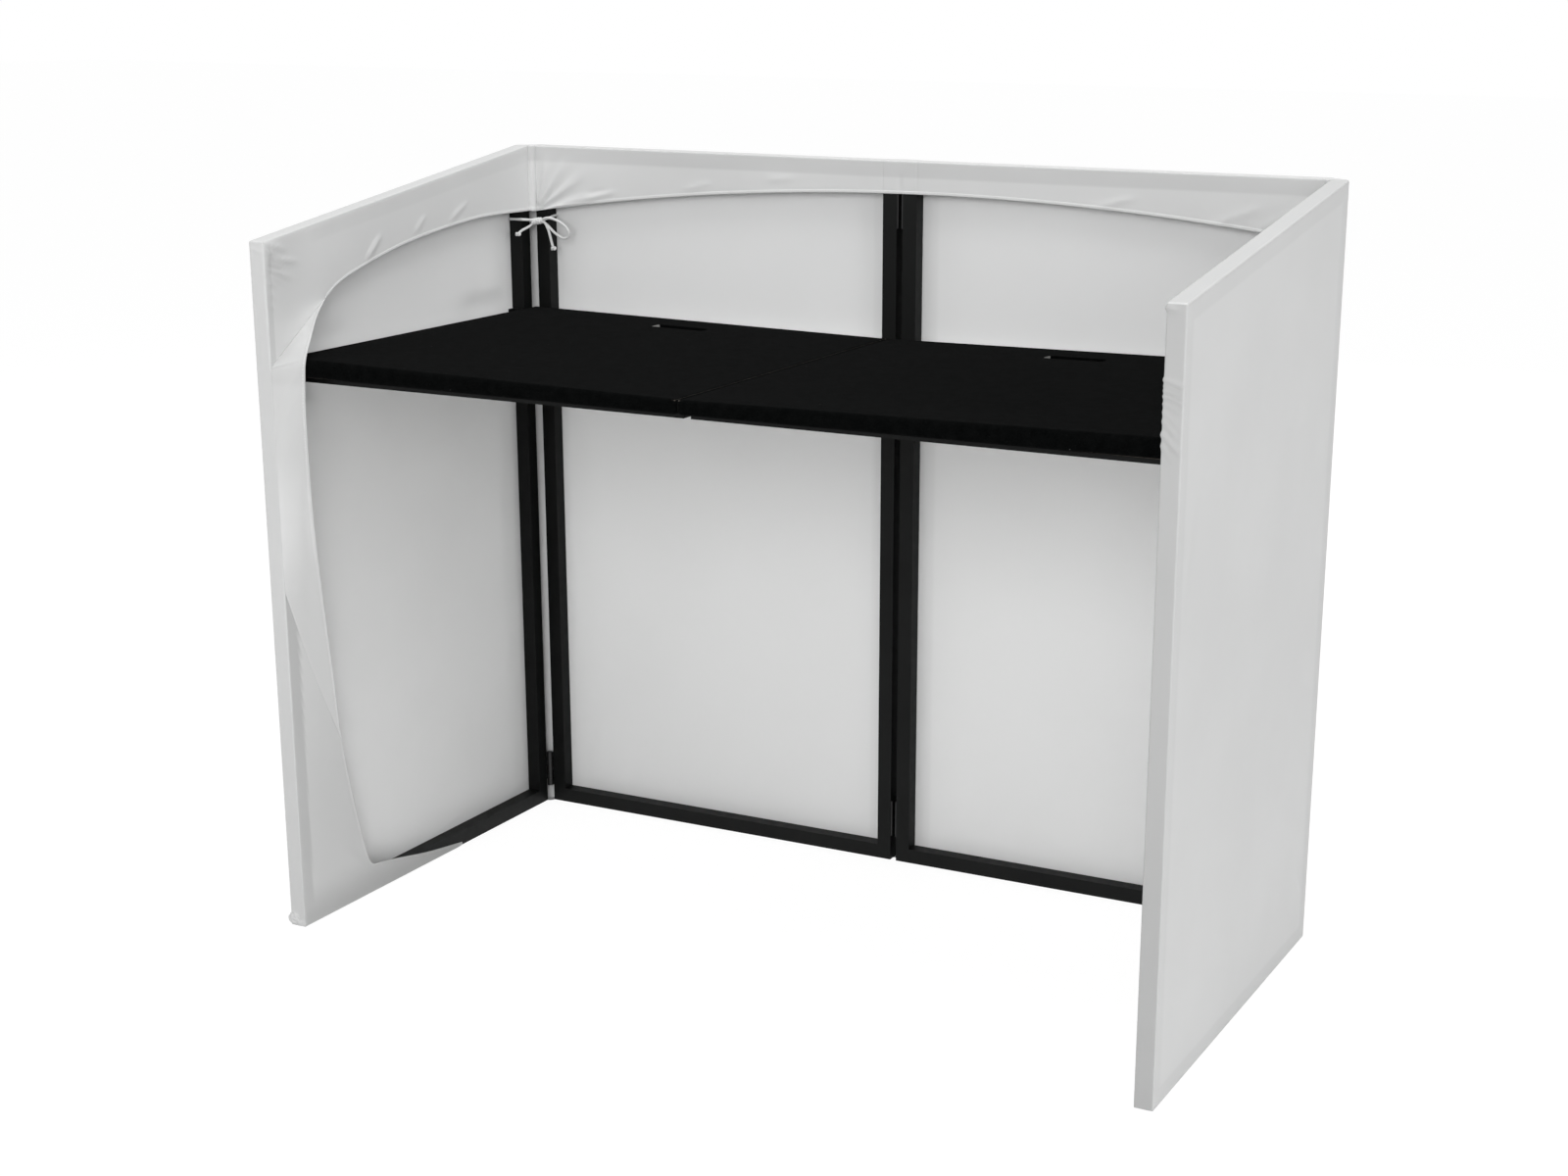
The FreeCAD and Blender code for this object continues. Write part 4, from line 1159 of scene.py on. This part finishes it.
# %% Left flap
flap_hem = [(turn_run, (0.0, *hem_turn))] + near_keys([
    (1.1, (0.021, 0.632, 0.987)), (1.0, (0.039, 0.670, 0.962)), (0.918, (0.0475, 0.6965, 0.930)),
    (0.89, (0.0455, 0.6985, 0.897)), (0.85, (0.041, 0.6955, 0.85)), (0.763, (0.034, 0.686, 0.763)),
    (0.674, (0.025, 0.672, 0.674)), (0.56, (0.0145, 0.649, 0.556)), (0.42, (0.0055, 0.622, 0.405)),
    (0.291, (0.0, *flap_foot))])
flap_wrinkles = [(2, 845, 34, 905, 5, 1), (0, 800, 32, 875, 6, 1), (0, 745, 30, 835, 7, 0.8),
                 (25.5, 725, 22.5, 695, 2.5, -1), (20.5, 675, 16.5, 625, 2.5, -1.4),
                 (9.5, 560, 6.5, 520, 2.5, -1.4), (4, 480, 2.5, 450, 2, -0.8)]


def flap_painted_shade(height):
    """Painted light and shade on the flap: darker beside the table, lighter in the fold above it and lower
    down.
    """
    tone = 0.12 + 0.36 * smooth(0.66, 0.80, height) + 0.12 * smooth(0.885, 0.90, height)
    return tone - 0.33 * smooth(0.93, 0.97, height)


def left_flap():
    columns = []
    for index, run in enumerate(rim_runs):
        if not flap_hem[0][0] <= run <= flap_hem[-1][0]:
            continue
        seam = left_edges[index]
        root = Vector((0.0, seam.x, seam.y))
        hem = through(flap_hem, run)
        span = (hem - root).length
        length = max(span, 0.00001)
        full = smooth(0.918, 0.89, seam.y) * smooth(0.50, 0.66, seam.y)
        round_out = Vector((0.62 * hem.x, near_end + 0.001, 0.45 * seam.y + 0.55 * hem.z))
        control = root.lerp(hem, 0.5).lerp(round_out, 0.4 * full)
        width_here = min(casing, 0.6 * span)
        column = []

        def add(share, lift=0.0, gap=no_hem):
            spot = root * (1 - share) ** 2 + control * (2 * share * (1 - share)) + hem * share ** 2
            run_on = (control - root) * (2 * (1 - share)) + (hem - control) * (2 * share)
            facing = Vector((-run_on.y, run_on.x, 0.0))
            facing = facing.normalized() if facing.length > 0.000001 else Vector((1, 0, 0))
            if facing.x < 0 and facing.y < 0:
                facing = -facing
            wrinkle = ridge_height(flap_wrinkles, spot.x, spot.z) * smooth(0.0, 0.25, share)
            spot = spot + facing * (lift + wrinkle)
            # Each point carries the flap's painted light and shade.
            column.append((spot.x - wing_plane, front_line - spot.y, spot.z, flap_painted_shade(spot.z), run, gap))

        for share in even_steps(0.0, 1 - width_here / length, 25):
            add(share)
        for gap, swell, stitch_gap in hem_casing(width_here):
            add(1 - gap / length, swell * width_here / casing, stitch_gap)
        columns.append(column)
    piece = sheet_of("left_flap_cloth", columns, white_knit)
    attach(piece, "left_wing")
    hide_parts("left_near_flap")
    return piece


# %% [markdown]
# ## Felt on the table
# Each half of the table is a board wrapped in black felt, with round edges, a cable slot near the back
# and an open window underneath, where the felt is folded in and glued. The felt is made as rings of
# points: from the middle of the underside out to the edge, round it, and in over the top to the slot.
# The two halves lie a little lower at their seam than at the wings, and at the left end of each slot the
# felt's grey back shows.

# %% Felt
def ring_points(low, high, inset, radius, height, per_corner=6):
    """A rectangle with round corners, inset from low and high, as a ring of points."""
    (x1, y1), (x2, y2) = (low[0] + inset, low[1] + inset), (high[0] - inset, high[1] - inset)
    radius = max(radius - inset, 0.0005)
    ring = []
    for x, y, start in ((x2 - radius, y2 - radius, 0), (x1 + radius, y2 - radius, 90),
                        (x1 + radius, y1 + radius, 180), (x2 - radius, y1 + radius, 270)):
        for step in range(per_corner + 1):
            angle = math.radians(start + 90 * step / per_corner)
            ring.append((x + radius * math.cos(angle), y + radius * math.sin(angle), height))
    return ring


felt_bottom, felt_top, felt_near, felt_depth, felt_round = 0.899, 0.923, -0.34965, 0.6905, 0.007
slot_half, slot_span, slot_lip = 0.05, (0.24085, 0.26685), 0.0012
table_seam, seam_drop, wing_rise, under_rise = -0.017, 0.002, 0.0095, 0.0018


def felt_rings(left, right):
    """Rings of the felt's outside and of its slot."""
    bottom, top, radius = felt_bottom, felt_top, felt_round
    profile = [(0.06, bottom + 0.003), (0.06, bottom), (0.02, bottom), (0.0095, bottom)]
    turns = [math.radians(90 * step / 8) for step in range(9)]
    profile += [(radius * (1 - math.sin(turn)), bottom + radius * (1 - math.cos(turn))) for turn in turns]
    profile += [(radius * (1 - math.cos(turn)), top - radius * (1 - math.sin(turn))) for turn in turns]
    profile.append((0.0095, top))
    low, high = (left, felt_near), (right, felt_near + felt_depth)
    outside = [ring_points(low, high, inset, radius, height) for inset, height in profile]
    turns = [math.radians(90 * step / 3) for step in range(4)]
    slot_profile = [(slot_lip * (math.sin(turn) - 1), top - slot_lip * (1 - math.cos(turn)))
                    for turn in turns]
    slot_profile += [(0.0, top - 0.012), (0.0, top - 0.0205)]
    middle = (left + right) / 2
    low, high = (middle - slot_half, slot_span[0]), (middle + slot_half, slot_span[1])
    return outside, [ring_points(low, high, inset, radius, height) for inset, height in slot_profile]


def table_felt(side, left, right):
    rings, slot_rings = felt_rings(left, right)
    points = [point for ring in rings + slot_rings for point in ring]
    count = len(rings[0])
    faces = grid_faces(len(rings), count, closed=True)
    faces += grid_faces(len(slot_rings), count, len(rings) * count, closed=True)
    piece = new_piece(side + "_table_felt", points, faces, black_felt)
    work = bmesh.new()
    work.from_mesh(piece.data)
    open_edges = [edge for edge in work.edges if edge.is_boundary
                  and all(abs(vert.co.z - felt_top) < 0.00001 for vert in edge.verts)]
    bmesh.ops.triangle_fill(work, edges=open_edges, use_beauty=True)
    bmesh.ops.recalc_face_normals(work, faces=work.faces)
    work.to_mesh(piece.data)
    work.free()
    piece.data.polygons.foreach_set("use_smooth", [True] * len(piece.data.polygons))
    piece.data.materials.append(grey_fleece)
    slot_end = (left + right) / 2 - slot_half
    for polygon in piece.data.polygons:
        in_slot = slot_span[0] < polygon.center.y < slot_span[1] and polygon.center.z < felt_top - 0.0006
        if in_slot and abs(polygon.center.x - slot_end) < 0.003:
            polygon.material_index = 1
    end = left if side == "left" else right
    for vertex in piece.data.vertices:
        away = abs(vertex.co.x - table_seam) / abs(end - table_seam)
        share = (vertex.co.z - felt_bottom) / (felt_top - felt_bottom)
        vertex.co.z += share * (wing_rise * away - seam_drop) + (1 - share) * under_rise * away
    shade_evenly(piece)
    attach(piece, side + "_table")
    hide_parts(side + "_table_carpet")
    return piece


felts = [table_felt("left", -0.717, table_seam), table_felt("right", table_seam, 0.716)]
flap_sheet = left_flap()
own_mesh(flap_sheet)
print("felt", [len(piece.data.vertices) for piece in felts], "flap", len(flap_sheet.data.vertices))

# %% [markdown]
# ## Floor and light
# The photograph has a plain white ground. The floor is white to the camera and keeps a soft shadow. The
# light is plain and soft: a dim sky all round, and five large lamps. One hangs above, one stands near the
# camera, one far out on each side, and one behind the booth for the views from there.

# %% Floor, sky and lamps
floor_size, floor_glow, floor_white, sky_strength = 30.0, 1.08, 0.88, 0.32


def floor_finish():
    material, tree, shader = start_finish("studio_floor")
    shader.inputs["Base Color"].default_value = (0.9, 0.9, 0.9, 1.0)
    shader.inputs["Roughness"].default_value = 0.9
    glow = add_node(tree, "ShaderNodeEmission", inputs={"Color": (1, 1, 1, 1), "Strength": floor_glow})
    path = add_node(tree, "ShaderNodeLightPath")
    seen = sums(tree, "MAXIMUM", path.outputs["Is Camera Ray"], path.outputs["Is Glossy Ray"])
    share = sums(tree, "MULTIPLY", seen, floor_white)
    mix = add_node(tree, "ShaderNodeMixShader", inputs={0: share, 1: shader.outputs[0], 2: glow.outputs[0]})
    tree.links.new(mix.outputs[0], tree.nodes["Material Output"].inputs["Surface"])
    return material


floor_points = [(x * floor_size, y * floor_size, -0.0006) for x, y in ((-1, -1), (1, -1), (1, 1), (-1, 1))]
floor = new_piece("studio_floor", floor_points, [(0, 1, 2, 3)], floor_finish())

world = bpy.data.worlds.new("studio_sky")
bpy.context.scene.world = world
world.use_nodes = True
sky = world.node_tree
sky_light = sky.nodes["Background"]
sky_light.inputs["Color"].default_value = (1.0, 1.0, 1.0, 1.0)
sky_light.inputs["Strength"].default_value = sky_strength
sky_white = add_node(sky, "ShaderNodeBackground", inputs={"Color": (1, 1, 1, 1), "Strength": 1.0})
rays = add_node(sky, "ShaderNodeLightPath")
bright = sums(sky, "MAXIMUM", rays.outputs["Is Camera Ray"], rays.outputs["Is Glossy Ray"])
bright = sums(sky, "MAXIMUM", bright, rays.outputs["Is Transmission Ray"])
chosen = add_node(sky, "ShaderNodeMixShader",
                  inputs={0: bright, 1: sky_light.outputs[0], 2: sky_white.outputs[0]})
sky.links.new(chosen.outputs[0], sky.nodes["World Output"].inputs["Surface"])
lamp_aim = Vector((0.0, 0.0, 0.6))


def soft_lamp(name, place, power, size=3.0, aim=lamp_aim):
    lamp = bpy.data.lights.new(name, "AREA")
    lamp.shape, lamp.size, lamp.energy = "DISK", size, power
    holder = bpy.data.objects.new(name, lamp)
    bpy.context.scene.collection.objects.link(holder)
    holder.location = place
    holder.rotation_euler = (aim - Vector(place)).to_track_quat("-Z", "Y").to_euler()


soft_lamp("overhead_lamp", (0.2, -0.3, 4.6), 85)
soft_lamp("camera_lamp", (1.4, -5.2, 2.3), 112, aim=Vector((0.0, 0.1, 0.6)))
soft_lamp("right_lamp", (7.8, -2.2, 3.6), 152, size=4.5)
soft_lamp("left_lamp", (-3.2, -4.2, 2.6), 24)
soft_lamp("back_lamp", (-1.0, 5.6, 2.4), 60)
bpy.context.scene.view_settings.view_transform = "Standard"
